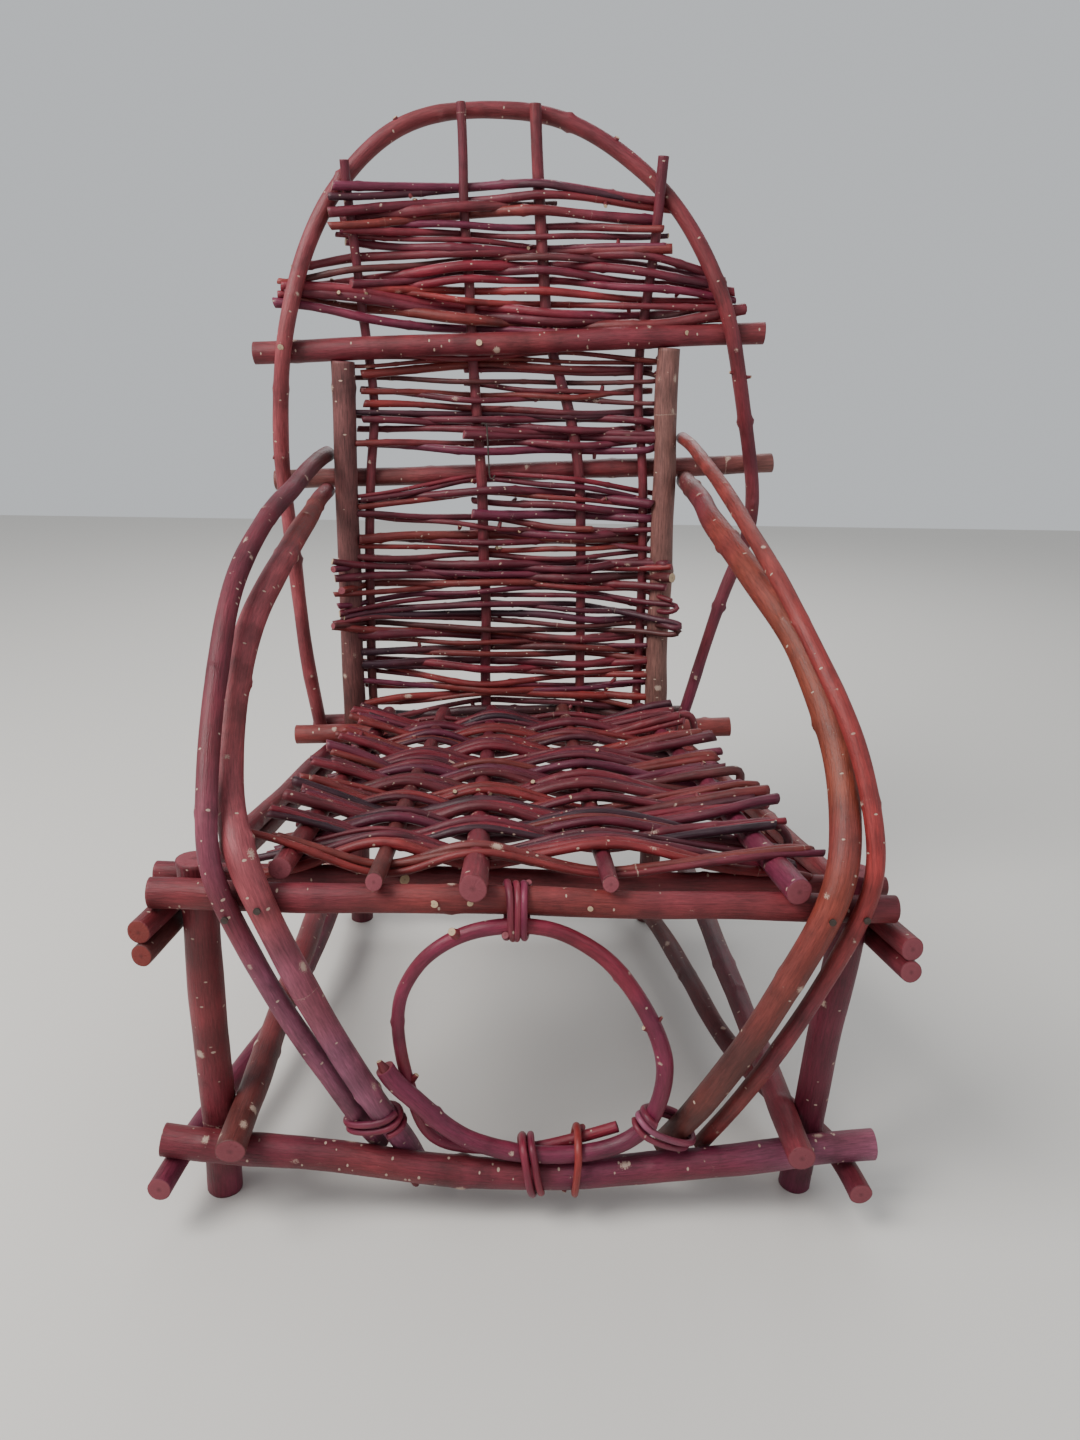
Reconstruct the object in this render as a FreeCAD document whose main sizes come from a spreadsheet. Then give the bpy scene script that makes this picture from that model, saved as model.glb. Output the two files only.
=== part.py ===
"""Twig armchair: a doll-size chair of bark-on sticks, nailed and tied, with a woven seat and back.

Frame: millimetres, +Z up, the chair faces -Y, the origin is on the floor under the middle of the box.
Sticks lie beside or on each other with one small clearance, fit_gap. A stick that lies against another
takes its place from that neighbour's centre line and from both diameters.
"""
import FreeCAD, Part
import math
import os
import random
import Sketcher
from FreeCAD import Vector

SIZES = [
    # overall layout
    ("front_span", 280, "between the front feet"),
    ("post_span", 206, "between the back posts at the floor"),
    ("post_shift", -5, "the posts' middle from the chair's middle"),
    ("depth_span", 263, "from the front legs to the back posts"),
    ("middle_shift", -3, "the feet's middle from the origin"),
    ("seat_level", 164.5, "centre of the front top rail"),
    ("low_level", 22, "centre of the front bottom rail at its lowest"),
    ("arm_level", 323, "centre of the outer arms at the posts"),
    ("post_top", 380, "top of the left back post"),
    ("hoop_top", 525, "centre of the hoop at its highest"),
    ("rail_tilt", 3, "how far a front rail's left end stands over its middle"),
    ("leg_lean", 13, "how far the right leg's top leans out"),
    ("post_lean", 10.5, "how far the posts' tops lean back"),
    ("post_rise", 11, "how much taller the right post is"),
    ("bow", 19, "sag of the front bottom rail"),
    ("left_drop", 24, "how far the left side rails fall to the back"),
    ("right_drop", 11, "how far the right side rails fall to the back"),
    ("overhang", 17, "how far a rail runs past the stick that it is nailed to"),
    # diameters
    ("leg_dia", 16.5, "left front leg"),
    ("right_leg_dia", 15.5, "right front leg"),
    ("post_dia", 15, "back posts"),
    ("front_rail_dia", 12.5, "front top rail"),
    ("second_rail_dia", 9.5, "second front rail"),
    ("low_rail_dia", 14.5, "front bottom rail"),
    ("rear_low_dia", 12, "rear bottom rail"),
    ("floor_rail_dia", 10.8, "low outer side rails"),
    ("inner_rail_dia", 13, "low inner side rails"),
    ("side_rail_dia", 10, "upper side rails"),
    ("under_rail_dia", 9.2, "rails under the upper side rails"),
    ("seat_back_dia", 12.7, "rail at the back of the seat"),
    ("rear_rail_dia", 12, "rail behind the posts"),
    ("upper_rail_dia", 13.6, "upper back rail"),
    ("lower_rail_dia", 12, "lower back rail"),
    ("hoop_dia", 9.4, "back hoop"),
    ("slat_dia", 6.2, "upright slats"),
    ("left_outer_dia", 9.6, "left outer arm"),
    ("left_inner_dia", 11, "left inner arm"),
    ("right_inner_dia", 13, "right inner arm"),
    ("right_outer_dia", 8, "right outer arm"),
    ("ring_dia", 6.8, "front ring"),
    ("ring_half_width", 62, "half the ring's width"),
    ("seat_rod_dia", 10, "seat rods"),
    ("weft_dia", 4.4, "woven twigs"),
    ("tie_dia", 3.2, "ties"),
    ("nail_dia", 3, "nail heads"),
    ("nail_proud", 1, "how far a nail head stands on the bark"),
    # fits and spacing
    ("fit_gap", 0.3, "clearance between sticks that touch"),
    ("edge_break", 0.7, "bevel round a cut end"),
    ("saw_waste", 4, "length sawn off the foot of a leaning stick"),
    ("weave_bend", 9, "radius of a woven twig's bends"),
    ("weave_slack", 0.8, "how much further a woven twig keeps from the sticks that it bends round"),
    ("seat_pitch", 7.2, "from one woven seat twig to the next"),
    ("head_pitch", 5.3, "from one woven head twig to the next"),
    ("back_pitch", 6.4, "from one woven back twig to the next"),
]

random.seed(5)      # the twigs' uneven ends come out the same each time
doc = FreeCAD.newDocument("twig_armchair")
sheet = doc.addObject("Spreadsheet::Sheet", "Sizes")
for row, (alias, value, note) in enumerate(SIZES, 1):
    sheet.set(f"A{row}", alias)
    sheet.set(f"B{row}", str(value))
    sheet.set(f"C{row}", note)
    sheet.setAlias(f"B{row}", alias)
doc.recompute()
size = {alias: float(sheet.get(alias)) for alias, value, note in SIZES}

X, Y, Z = 0, 1, 2
GAP = size["fit_gap"]
subParts = []
routes = {}


# Placing

def touch(first, second):
    """Distance between the centre lines of two round sticks that lie against each other."""
    return (size[first] + size[second]) / 2 + GAP


def between(start, end, share):
    """The value a share of the way from start to end."""
    return start + (end - start) * share


def crossing(route, axis, value):
    """The point where a route passes a value of one coordinate, or its nearer end."""
    for a, b in zip(route, route[1:]):
        if min(a[axis], b[axis]) <= value <= max(a[axis], b[axis]) and a[axis] != b[axis]:
            share = (value - a[axis]) / (b[axis] - a[axis])
            return tuple(between(p, q, share) for p, q in zip(a, b))
    return min((route[0], route[-1]), key=lambda p: abs(p[axis] - value))


# Making sticks

def smoothWire(route, widest=1000.0):
    """Straight runs joined by tangent arcs, each as large as its two runs allow, up to widest."""
    points = [Vector(*p) for p in route]
    edges = []
    start = points[0]
    for before, here, after in zip(points, points[1:], points[2:]):
        inward = (before - here).normalize()
        outward = (after - here).normalize()
        turn = math.pi - inward.getAngle(outward)
        if turn < math.radians(0.4):
            continue
        shorter = min((before - here).Length, (after - here).Length)
        radius = min(widest, 0.45 * shorter / math.tan(turn / 2))
        back = radius * math.tan(turn / 2)
        first = here + inward * back
        last = here + outward * back
        middle = here + (inward + outward).normalize() * (radius / math.cos(turn / 2) - radius)
        edges.append(Part.LineSegment(start, first).toShape())
        edges.append(Part.Arc(first, middle, last).toShape())
        start = last
    edges.append(Part.LineSegment(start, points[-1]).toShape())
    return Part.Wire(edges)


def facing(start, end):
    """The place of something drawn along +Z so that it starts at one point and looks at another."""
    along = Vector(*end) - Vector(*start)
    return FreeCAD.Placement(Vector(*start), FreeCAD.Rotation(Vector(0, 0, 1), along))


def keep(item, label, route=None):
    """Name a finished sub-part, list it for the export and remember its centre line."""
    item.Label = label
    subParts.append(item)
    routes[label] = route
    return route


def outline(sketch, corners, rules):
    """A closed outline from the origin up the sketch's own V axis, held by named distances."""
    for a, b in zip(corners, corners[1:] + corners[:1]):
        sketch.addGeometry(Part.LineSegment(Vector(*a, 0), Vector(*b, 0)), False)
    last = len(corners) - 1
    for line in range(len(corners)):
        sketch.addConstraint(Sketcher.Constraint("Coincident", line, 2, (line + 1) % len(corners), 1))
    sketch.addConstraint(Sketcher.Constraint("Coincident", 0, 1, -1, 1))
    sketch.addConstraint(Sketcher.Constraint("PointOnObject", last, 1, -2))
    sketch.addConstraint(Sketcher.Constraint("Horizontal", 0))
    sketch.addConstraint(Sketcher.Constraint("Horizontal", last - 1))
    for name, kind, corner, formula in rules:
        value = corners[corner][0 if kind == "DistanceX" else 1]
        rule = Sketcher.Constraint(kind, -1, 1, corner, 1, value)
        sketch.renameConstraint(sketch.addConstraint(rule), name)
        sketch.setExpression(f"Constraints.{name}", formula)


def rawStick(label, start, end, dia):
    """A straight stick with bevelled ends: half its outline revolved, then laid between two points."""
    length = (Vector(*end) - Vector(*start)).Length
    edge, radius = size["edge_break"], size[dia] / 2
    corners = [(0, 0), (radius - edge, 0), (radius, edge),
               (radius, length - edge), (radius - edge, length), (0, length)]
    rules = [("footFace", "DistanceX", 1, f"Sizes.{dia} / 2 - Sizes.edge_break"),
             ("footRadius", "DistanceX", 2, f"Sizes.{dia} / 2"),
             ("footEdge", "DistanceY", 2, "Sizes.edge_break"),
             ("tipRadius", "DistanceX", 3, f"Sizes.{dia} / 2"),
             ("tipEdge", "DistanceY", 3, f"{length} - Sizes.edge_break"),
             ("tipFace", "DistanceX", 4, f"Sizes.{dia} / 2 - Sizes.edge_break"),
             ("length", "DistanceY", 4, f"{length}")]
    body = doc.addObject("PartDesign::Body", label + "_body")
    sketch = body.newObject("Sketcher::SketchObject", label + "_outline")
    plane = next(f for f in body.Origin.OriginFeatures if f.Role == "XZ_Plane")
    sketch.AttachmentSupport = [(plane, "")]
    sketch.MapMode = "FlatFace"
    outline(sketch, corners, rules)
    turned = body.newObject("PartDesign::Revolution", label + "_turned")
    turned.Profile = sketch
    turned.ReferenceAxis = (sketch, ["V_Axis"])
    turned.Angle = 360
    body.Placement = facing(start, end)
    return body


def stick(label, start, end, dia):
    """A straight stick kept as a sub-part."""
    return keep(rawStick(label, start, end, dia), label, [start, end])


def bentStick(label, route, dia, widest=1000.0):
    """A bent stick: a round section swept along its centre line."""
    line = doc.addObject("Part::Feature", label + "_line")
    wire = smoothWire(route, widest)
    line.Shape = wire
    section = doc.addObject("Part::Circle", label + "_section")
    section.setExpression("Radius", f"Sizes.{dia} / 2")
    section.Placement = facing(route[0], route[1])
    sweep = doc.addObject("Part::Sweep", label + "_sweep")
    sweep.Sections = [section]
    sweep.Spine = (line, [])
    sweep.Solid = True
    sweep.Frenet = False
    return keep(sweep, label, [tuple(p) for p in wire.discretize(160)])


def rod(route, dia, widest=1000.0):
    """The solid of one round rod along a route, for bundles of twigs."""
    wire = smoothWire(route, widest)
    along = Vector(*route[1]) - Vector(*route[0])
    section = Part.Wire(Part.makeCircle(size[dia] / 2, Vector(*route[0]), along))
    return wire.makePipeShell([section], True, False)


def bundle(label, solids):
    """Several separate solids of one kind kept as one sub-part."""
    item = doc.addObject("Part::Feature", label + "_bundle")
    item.Shape = Part.makeCompound(solids)
    keep(item, label)


def floorStick(label, start, end, foot):
    """A leaning stick whose foot is sawn off level with the floor."""
    drop = (Vector(*end) - Vector(*start)).normalize() * size["saw_waste"]
    body = rawStick(label, tuple(Vector(*start) - drop), end, foot)
    saw = doc.addObject("Part::Box", label + "_saw")
    for side in ("Length", "Width", "Height"):
        saw.setExpression(side, "Sizes.saw_waste * 10")
    half = size["saw_waste"] * 5
    saw.Placement = FreeCAD.Placement(Vector(start[X] - half, start[Y] - half, -2 * half), FreeCAD.Rotation())
    cut = doc.addObject("Part::Cut", label + "_sawn")
    cut.Base = body
    cut.Tool = saw
    return keep(cut, label, [start, end])


# The corners of the chair

legY = -size["depth_span"] / 2
postY = size["depth_span"] / 2
midX = size["middle_shift"]
legLeftX = midX - size["front_span"] / 2
legRightX = midX + size["front_span"] / 2
postLeftX = midX + size["post_shift"] - size["post_span"] / 2
postRightX = midX + size["post_shift"] + size["post_span"] / 2
legTop = size["seat_level"] + 12
legDia = {"left": "leg_dia", "right": "right_leg_dia"}


def legs():
    """Two front legs: the left one upright, the right one leaning out."""
    stick("front_left_leg", (legLeftX, legY, 0), (legLeftX, legY, legTop), "leg_dia")
    floorStick("front_right_leg", (legRightX, legY, 0), (legRightX + size["leg_lean"], legY, legTop - 4),
               "right_leg_dia")


def posts():
    """Two back posts, which are the back legs too and lean back a little."""
    topY = postY + size["post_lean"]
    floorStick("left_back_post", (postLeftX, postY, 0), (postLeftX, topY, size["post_top"]), "post_dia")
    floorStick("right_back_post", (postRightX, postY, 0),
               (postRightX - 5, topY, size["post_top"] + size["post_rise"]), "post_dia")


def atPost(side, level):
    """Centre of a back post at a height."""
    return crossing(routes[side + "_back_post"], Z, level)


def atLeg(side, level):
    """Centre of a front leg at a height."""
    return crossing(routes["front_" + side + "_leg"], Z, level)


# The base

def frontRails():
    """Top rail before the legs, second rail behind them, bowed bottom rail before them."""
    level, tilt, over = size["seat_level"], size["rail_tilt"], size["overhang"]
    y = legY - touch("leg_dia", "front_rail_dia")
    right = atLeg("right", level)[X]
    stick("front_top_rail", (legLeftX - over, y, level + tilt), (right + over - 3, y, level - tilt),
          "front_rail_dia")
    y = legY - touch("leg_dia", "low_rail_dia")
    low, bow = size["low_level"], size["bow"]
    route = [(legLeftX - 22, y, low + bow), (between(legLeftX, midX, 0.38), y - 2, low + bow * 0.55),
             (midX - 5, y - 4, low), (between(midX, legRightX, 0.6), y - 3, low + bow * 0.3),
             (legRightX + 31, y, low + bow * 0.8)]
    bentStick("front_bottom_rail", route, "low_rail_dia")


def besideLeg(side, dia, level, sign):
    """Width of a stick that lies against a front leg at a height, on the side given by the sign."""
    return atLeg(side, level)[X] + sign * touch(legDia[side], dia)


def besidePost(side, dia, level, sign):
    """Width of a stick that lies against a back post at a height, on the side given by the sign."""
    return atPost(side, level)[X] + sign * touch("post_dia", dia)


def onLine(first, last, ys):
    """Points on the line through two points at two other depths."""
    shares = [(y - first[Y]) / (last[Y] - first[Y]) for y in ys]
    return [tuple(between(p, q, share) for p, q in zip(first, last)) for share in shares]


def floorRails():
    """Low outer side rails, sprung round the legs under the front bottom rail, and the rail on them."""
    dia = "floor_rail_dia"
    low = routes["front_bottom_rail"]
    front, back = legY - 34, postY + 13
    lift = touch("low_rail_dia", dia)
    level = crossing(low, X, legLeftX - 13)[Z] - lift
    outer, postSide = besideLeg("left", dia, level, -1), besidePost("left", dia, level, -1)
    bentStick("left_floor_rail", [(outer - 6, front, level), (outer - 0.6, legY, level),
                                  (between(outer, postSide, 0.86), 0, level), (postSide - 0.4, postY, level),
                                  (postSide, back, level)], dia)
    level = crossing(low, X, legRightX + 14)[Z] - lift
    outer, postSide = besideLeg("right", dia, level, 1), besidePost("right", dia, level, -1)
    bentStick("right_floor_rail", [(outer + 6, front, level), (outer + 3, legY + 1, level),
                                   (legRightX - 1, legY + 35, level),
                                   (between(legRightX, postRightX, 0.55), -38, level),
                                   (postRightX + 4, postY - 60, level), (postSide - 1.2, postY, level),
                                   (postSide - 4, back, level)], dia)
    left, right = routes["left_floor_rail"][-1], routes["right_floor_rail"][-1]
    lift = touch(dia, "rear_low_dia")
    y = postY - touch("post_dia", "rear_low_dia")
    slope = (right[Z] - left[Z]) / (right[X] - left[X])
    ends = [(x, y, left[Z] + lift + slope * (x - left[X])) for x in (postLeftX - 36, postRightX + 58)]
    stick("rear_bottom_rail", *ends, "rear_low_dia")


def innerRails():
    """Low inner side rails, which lie on the front and the rear bottom rails."""
    dia = "inner_rail_dia"
    low, rear = routes["front_bottom_rail"], routes["rear_bottom_rail"]
    backX = {"left": postLeftX - 15, "right": postRightX + 24}
    for side, sign in (("left", 1), ("right", -1)):
        x = besideLeg(side, dia, size["low_level"] + 30, sign)
        frontZ = crossing(low, X, x)[Z] + touch("low_rail_dia", dia)
        backZ = crossing(rear, X, backX[side])[Z] + touch("rear_low_dia", dia)
        anchors = (x, legY, frontZ), (backX[side], rear[0][Y], backZ)
        stick(f"{side}_inner_rail", *onLine(*anchors, (legY - 37, postY + 13)), dia)


def upperSideRails():
    """Two rails a side, nailed outside leg and post, the upper one under the front top rail."""
    top = routes["front_top_rail"]
    drops = {"left": size["left_drop"], "right": size["right_drop"]}
    under = touch("side_rail_dia", "under_rail_dia") + GAP
    pair = (("side", "side_rail_dia", 0, 29), ("under", "under_rail_dia", under, 31))
    for side, sign in (("left", -1), ("right", 1)):
        for label, dia, below, ahead in pair:
            frontZ = size["seat_level"] - sign * size["rail_tilt"] - touch("front_rail_dia", "side_rail_dia")
            x = besideLeg(side, dia, frontZ, sign)
            backZ = frontZ - drops[side] - below
            backX = besidePost(side, dia, backZ, sign) + sign * GAP
            anchors = (x, legY, frontZ - 1.5 - below), (backX, atPost(side, backZ)[Y], backZ)
            stick(f"{side}_{label}_rail", *onLine(*anchors, (legY - ahead, postY + 18)), dia)


def seatRails():
    """Rails that lie on the upper side rails: behind the legs, before the posts and behind the posts."""
    left, right = routes["left_side_rail"], routes["right_side_rail"]
    over = size["overhang"]

    def across(label, y, dia, ends):
        lift = touch("side_rail_dia", dia)
        a, b = crossing(left, Y, y), crossing(right, Y, y)
        slope = (b[Z] - a[Z]) / (b[X] - a[X])
        xs = (a[X] - ends[0], b[X] + ends[1])
        stick(label, *[(x, y, a[Z] + lift + slope * (x - a[X])) for x in xs], dia)

    across("second_front_rail", legY + touch("leg_dia", "second_rail_dia"), "second_rail_dia",
           (over - 6, over - 7))
    across("seat_back_rail", postY - touch("post_dia", "seat_back_dia") + 2, "seat_back_dia", (23, 33))
    rear = atPost("left", size["seat_level"])[Y] + touch("post_dia", "rear_rail_dia")
    across("rear_seat_rail", rear, "rear_rail_dia", (20, 12))


# The back

def backRails():
    """The upper rail lies on the tops of the posts, the lower one behind the posts."""
    left, right = routes["left_back_post"][1], routes["right_back_post"][1]
    lift = size["upper_rail_dia"] / 2 + GAP
    slope = (right[Z] - left[Z]) / (right[X] - left[X])
    ends = [(x, left[Y], left[Z] + lift + slope * (x - left[X])) for x in (left[X] - 54, right[X] + 59)]
    stick("upper_back_rail", *ends, "upper_rail_dia")
    level = size["arm_level"] - 9
    y = atPost("left", level)[Y] + touch("post_dia", "lower_rail_dia")
    stick("lower_back_rail", (postLeftX - 49, y, level - 8), (postRightX + 68, y, level + 8), "lower_rail_dia")


def behindRail(label, dia, x, side):
    """Depth and height of an upright where it crosses a back rail, before it (-1) or behind it (1)."""
    at = crossing(routes[label], X, x)
    rails = {"rear_seat_rail": "rear_rail_dia", "lower_back_rail": "lower_rail_dia",
             "upper_back_rail": "upper_rail_dia"}
    return at[Y] + side * touch(rails[label], dia), at[Z]


def hoop():
    """A bent rod: before the rear seat rail, the lower rail and the upper rail, then back over the top."""
    top = size["hoop_top"]
    dia = "hoop_dia"
    left, right = postLeftX, postRightX
    seatY, seatZ = behindRail("rear_seat_rail", dia, left - 20, -1)
    lowY, lowZ = behindRail("lower_back_rail", dia, left - 40, -1)
    highY, highZ = behindRail("upper_back_rail", dia, left - 34, -1)
    rightSeatY, rightSeatZ = behindRail("rear_seat_rail", dia, right + 14, -1)
    rightLowY, rightLowZ = behindRail("lower_back_rail", dia, right + 52, -1)
    rightHighY, rightHighZ = behindRail("upper_back_rail", dia, right + 32, -1)
    arch = top - highZ
    archRight = top - rightHighZ
    topY = highY + 36
    route = [
        (left - 23, seatY, seatZ - 8),
        (left - 33, between(seatY, lowY, 0.45), between(seatZ, lowZ, 0.42)),
        (left - 38, between(seatY, lowY, 0.85), between(seatZ, lowZ, 0.8)),
        (left - 41, lowY - 0.5, lowZ + 6),
        (left - 38, between(lowY, highY, 0.6) - 1, between(lowZ, highZ, 0.55)),
        (left - 33.5, highY - 1.4, highZ + 4),
        (left - 24, between(highY, topY, 0.24), highZ + arch * 0.36),
        (left - 2, between(highY, topY, 0.55), highZ + arch * 0.67),
        (left + 30, between(highY, topY, 0.88), highZ + arch * 0.91),
        (left + 62, between(highY, topY, 0.98), top - 2),
        (left + 105, topY, top),
        (right - 76, between(highY, topY, 0.97), top - 4),
        (right - 42, between(highY, topY, 0.8), rightHighZ + archRight * 0.85),
        (right - 8, between(highY, topY, 0.5), rightHighZ + archRight * 0.62),
        (right + 17, between(highY, topY, 0.22), rightHighZ + archRight * 0.33),
        (right + 32, rightHighY - 1.4, rightHighZ + 1),
        (right + 43, between(rightLowY, rightHighY, 0.5) - 1, between(rightLowZ, rightHighZ, 0.46)),
        (right + 52, rightLowY - 0.5, rightLowZ + 1),
        (right + 57, between(rightSeatY, rightLowY, 0.85), between(rightSeatZ, rightLowZ, 0.77)),
        (right + 42, between(rightSeatY, rightLowY, 0.6), between(rightSeatZ, rightLowZ, 0.57)),
        (right + 30, between(rightSeatY, rightLowY, 0.3), between(rightSeatZ, rightLowZ, 0.3)),
        (right + 16, rightSeatY, rightSeatZ - 4),
    ]
    bentStick("back_hoop", route, dia)


def hoopAt(x):
    """Centre of the hoop's upper part over a point of the width."""
    arch = [p for p in routes["back_hoop"] if p[Z] > size["post_top"] + 20]
    return crossing(arch, X, x)


def hoopSide(side, level):
    """Centre of one side of the hoop at a height."""
    route = routes["back_hoop"]
    peak = max(range(len(route)), key=lambda i: route[i][Z])
    part = route[:peak + 1] if side == "left" else route[peak:]
    return crossing(part, Z, level)


def slats():
    """Four upright rods: before the rear seat rail and lower rail, behind the upper rail, before the hoop."""
    dia = "slat_dia"
    plan = {
        1: ((postLeftX + 13, postLeftX + 11, postLeftX + 15, postLeftX + 19, postLeftX + 14,
             postLeftX + 6), 6),
        2: ((midX - 19, midX - 20, midX - 22, midX - 26, midX - 29, midX - 35), 3),
        3: ((midX + 46, midX + 43, midX + 41, midX + 33, midX + 18, midX + 9), 3),
        4: ((postRightX - 15, postRightX - 14, postRightX - 17, postRightX - 22, postRightX - 22,
             postRightX - 14), 16),
    }
    for number, (xs, past) in plan.items():
        seatY, seatZ = behindRail("rear_seat_rail", dia, xs[0], -1)
        lowY, lowZ = behindRail("lower_back_rail", dia, xs[2], -1)
        highY, highZ = behindRail("upper_back_rail", dia, xs[4], 1)
        over = hoopAt(xs[5])
        top = over[Z] + past
        topY = over[Y] - touch("hoop_dia", dia) - 1.5
        route = [
            (xs[0], seatY, seatZ - 13),
            (xs[1], between(seatY, lowY, 0.45), between(seatZ, lowZ, 0.5)),
            (xs[2], lowY - 0.4, lowZ),
            (xs[3], between(lowY, highY, 0.5), between(lowZ, highZ, 0.5)),
            (xs[4], highY + 0.9, highZ),
            (between(xs[4], xs[5], 0.8), between(highY, topY, 0.75), between(highZ, over[Z], 0.75)),
            (xs[5] + (xs[5] - xs[4]) * 0.05, topY, top),
        ]
        bentStick(f"back_slat_{number}", route, dia)


# The arms

def arms():
    """Two rods a side from the post down over the front top rail to behind the front bottom rail."""
    rail, low = routes["front_top_rail"], routes["front_bottom_rail"]
    level, seat = size["arm_level"], size["seat_level"]
    back = {"left": postLeftX, "right": postRightX}
    lowerRail = routes["lower_back_rail"]

    def arm(label, side, dia, endZ, middle, frontX, footX, footPast):
        sign = -1 if side == "left" else 1
        beside = besidePost(side, dia, endZ, sign)
        endY = lowerRail[0][Y] - size["lower_rail_dia"] / 2 - GAP
        start = [(beside, endY, endZ + 1), (beside + sign * 0.6, endY - 36, endZ)]
        railPoint = crossing(rail, X, frontX)
        before = railPoint[Y] - touch("front_rail_dia", dia) - 0.7
        foot = crossing(low, X, footX)
        behind = foot[Y] + touch("low_rail_dia", dia)
        lean = (footX - frontX) / (railPoint[Z] - foot[Z])
        end = [(frontX - lean * 19, before, railPoint[Z] + 19),
               (frontX, before, railPoint[Z]),
               (frontX + lean * 40, before - 0.5, railPoint[Z] - 40),
               (footX - lean * 22, before + 3, foot[Z] + 34),
               (footX, behind + 0.8, foot[Z] + 3),
               (footX + lean * footPast, behind + 1.5, foot[Z] + 3 - footPast)]
        # width from the middle line, depth, and height over the seat
        span = (level - seat) / 160.0
        bend = [(midX + x, y, seat + z * span) for x, y, z in middle]
        bentStick(label, start + bend + end, dia)

    arm("left_outer_arm", "left", "left_outer_dia", level,
        [(-123, 60, 153), (-125, 25, 150), (-128, -12, 142), (-132, -46, 128), (-133, -78, 110),
         (-132, -106, 85), (-131, -131, 61), (-128, -149, 38)], midX - 121, midX - 63.5, 3)
    arm("left_inner_arm", "left", "left_inner_dia", level - 23,
        [(-118, 50, 133), (-118, 8, 127), (-121, -28, 117), (-126, -58, 103), (-129, -84, 82),
         (-129, -108, 56), (-123, -134, 36)], midX - 105, midX - 51, 13)
    arm("right_inner_arm", "right", "right_inner_dia", level - 13,
        [(107, 43, 141), (109, 4, 133), (119, -40, 119), (131, -74, 100), (139, -98, 79),
         (144, -119, 55), (143, -141, 35)], midX + 130, midX + 74, 3)
    arm("right_outer_arm", "right", "right_outer_dia", level + 13,
        [(107, 62, 167), (109, 25, 159), (116, -18, 144), (125, -69, 121), (137, -102, 95),
         (148, -129, 65), (152, -147, 37)], midX + 147, midX + 92, 3)


# The front ring

# outline of the ring: share of the half width from its middle, share of the height, 1 where it lies behind
RING = [(-1.08, 0.41, 0), (-1.03, 0.35, 0), (-0.86, 0.27, 0), (-0.69, 0.17, 0), (-0.49, 0.09, 0),
        (-0.06, 0.02, 0), (0.36, 0.02, 0), (0.67, 0.06, 0), (0.86, 0.14, 0), (0.95, 0.28, 0),
        (0.97, 0.41, 0), (0.9, 0.54, 0), (0.76, 0.69, 0), (0.52, 0.87, 0), (0.16, 0.985, 0),
        (-0.13, 1.0, 0), (-0.48, 0.97, 0), (-0.78, 0.87, 0), (-0.94, 0.72, 0.2), (-0.98, 0.59, 0.6),
        (-0.97, 0.43, 1), (-0.9, 0.26, 1), (-0.82, 0.1, 1), (-0.71, 0.025, 1), (-0.55, 0.005, 1),
        (-0.3, 0.0, 1), (0.0, 0.0, 1), (0.4, 0.05, 1), (0.67, 0.1, 1)]


def ring():
    """One rod bent once round and a little further, its two ends crossing at the lower left."""
    centreX = midX + 8.5
    rail = crossing(routes["front_top_rail"], X, centreX)
    foot = crossing(routes["front_bottom_rail"], X, centreX)
    reach = touch("front_rail_dia", "ring_dia")
    y = rail[Y] - reach * 0.72
    topZ = rail[Z] - math.sqrt(reach ** 2 - (y - rail[Y]) ** 2)
    reach = touch("low_rail_dia", "ring_dia")
    bottomZ = foot[Z] + math.sqrt(reach ** 2 - (y - foot[Y]) ** 2)
    half = size["ring_half_width"]
    aside = size["ring_dia"] + 2 * GAP
    route = [(centreX + half * w, y + aside * behind, between(bottomZ, topZ, h)) for w, h, behind in RING]
    bentStick("front_ring", route, "ring_dia")


# Seat and weaving

def seatRods():
    """Rods from the front top rail to the seat back rail, which the seat is woven on."""
    front, back = routes["front_top_rail"], routes["seat_back_rail"]
    places = [(-101, -84, -2), (-59, -47, 9), (-18, -15, 14), (40, 33, 7), (119, 85, 10)]
    for number, (frontX, backX, past) in enumerate(places, 1):
        frontX, backX = midX + frontX, midX + backX
        a, b = crossing(front, X, frontX), crossing(back, X, backX)
        lift = touch("front_rail_dia", "seat_rod_dia"), touch("seat_back_dia", "seat_rod_dia")
        slope = ((b[Z] + lift[1]) - (a[Z] + lift[0])) / (b[Y] - a[Y])
        side = (backX - frontX) / (b[Y] - a[Y])
        ends = [(frontX + side * (y - a[Y]), y, a[Z] + lift[0] + slope * (y - a[Y]))
                for y in (a[Y] - past, b[Y] + 8)]
        stick(f"seat_rod_{number}", *ends, "seat_rod_dia")


def seatTwig(y, parity, ends):
    """One woven twig across the seat: over and under the seat rods in turn."""
    offset = touch("seat_rod_dia", "weft_dia") + size["weave_slack"]
    route = []
    for number in range(1, 6):
        x, _, z = crossing(routes[f"seat_rod_{number}"], Y, y)
        route.append((x, y, z + (offset if (number + parity) % 2 else -offset)))
    first, last = route[0], route[-1]
    sides = [(first[X] - ends[0], y, between(first[Z], route[1][Z], 0.1)),
             (last[X] + ends[1], y, between(last[Z], route[-2][Z], 0.1))]
    return rod([sides[0]] + route + [sides[1]], "weft_dia", size["weave_bend"])


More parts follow.
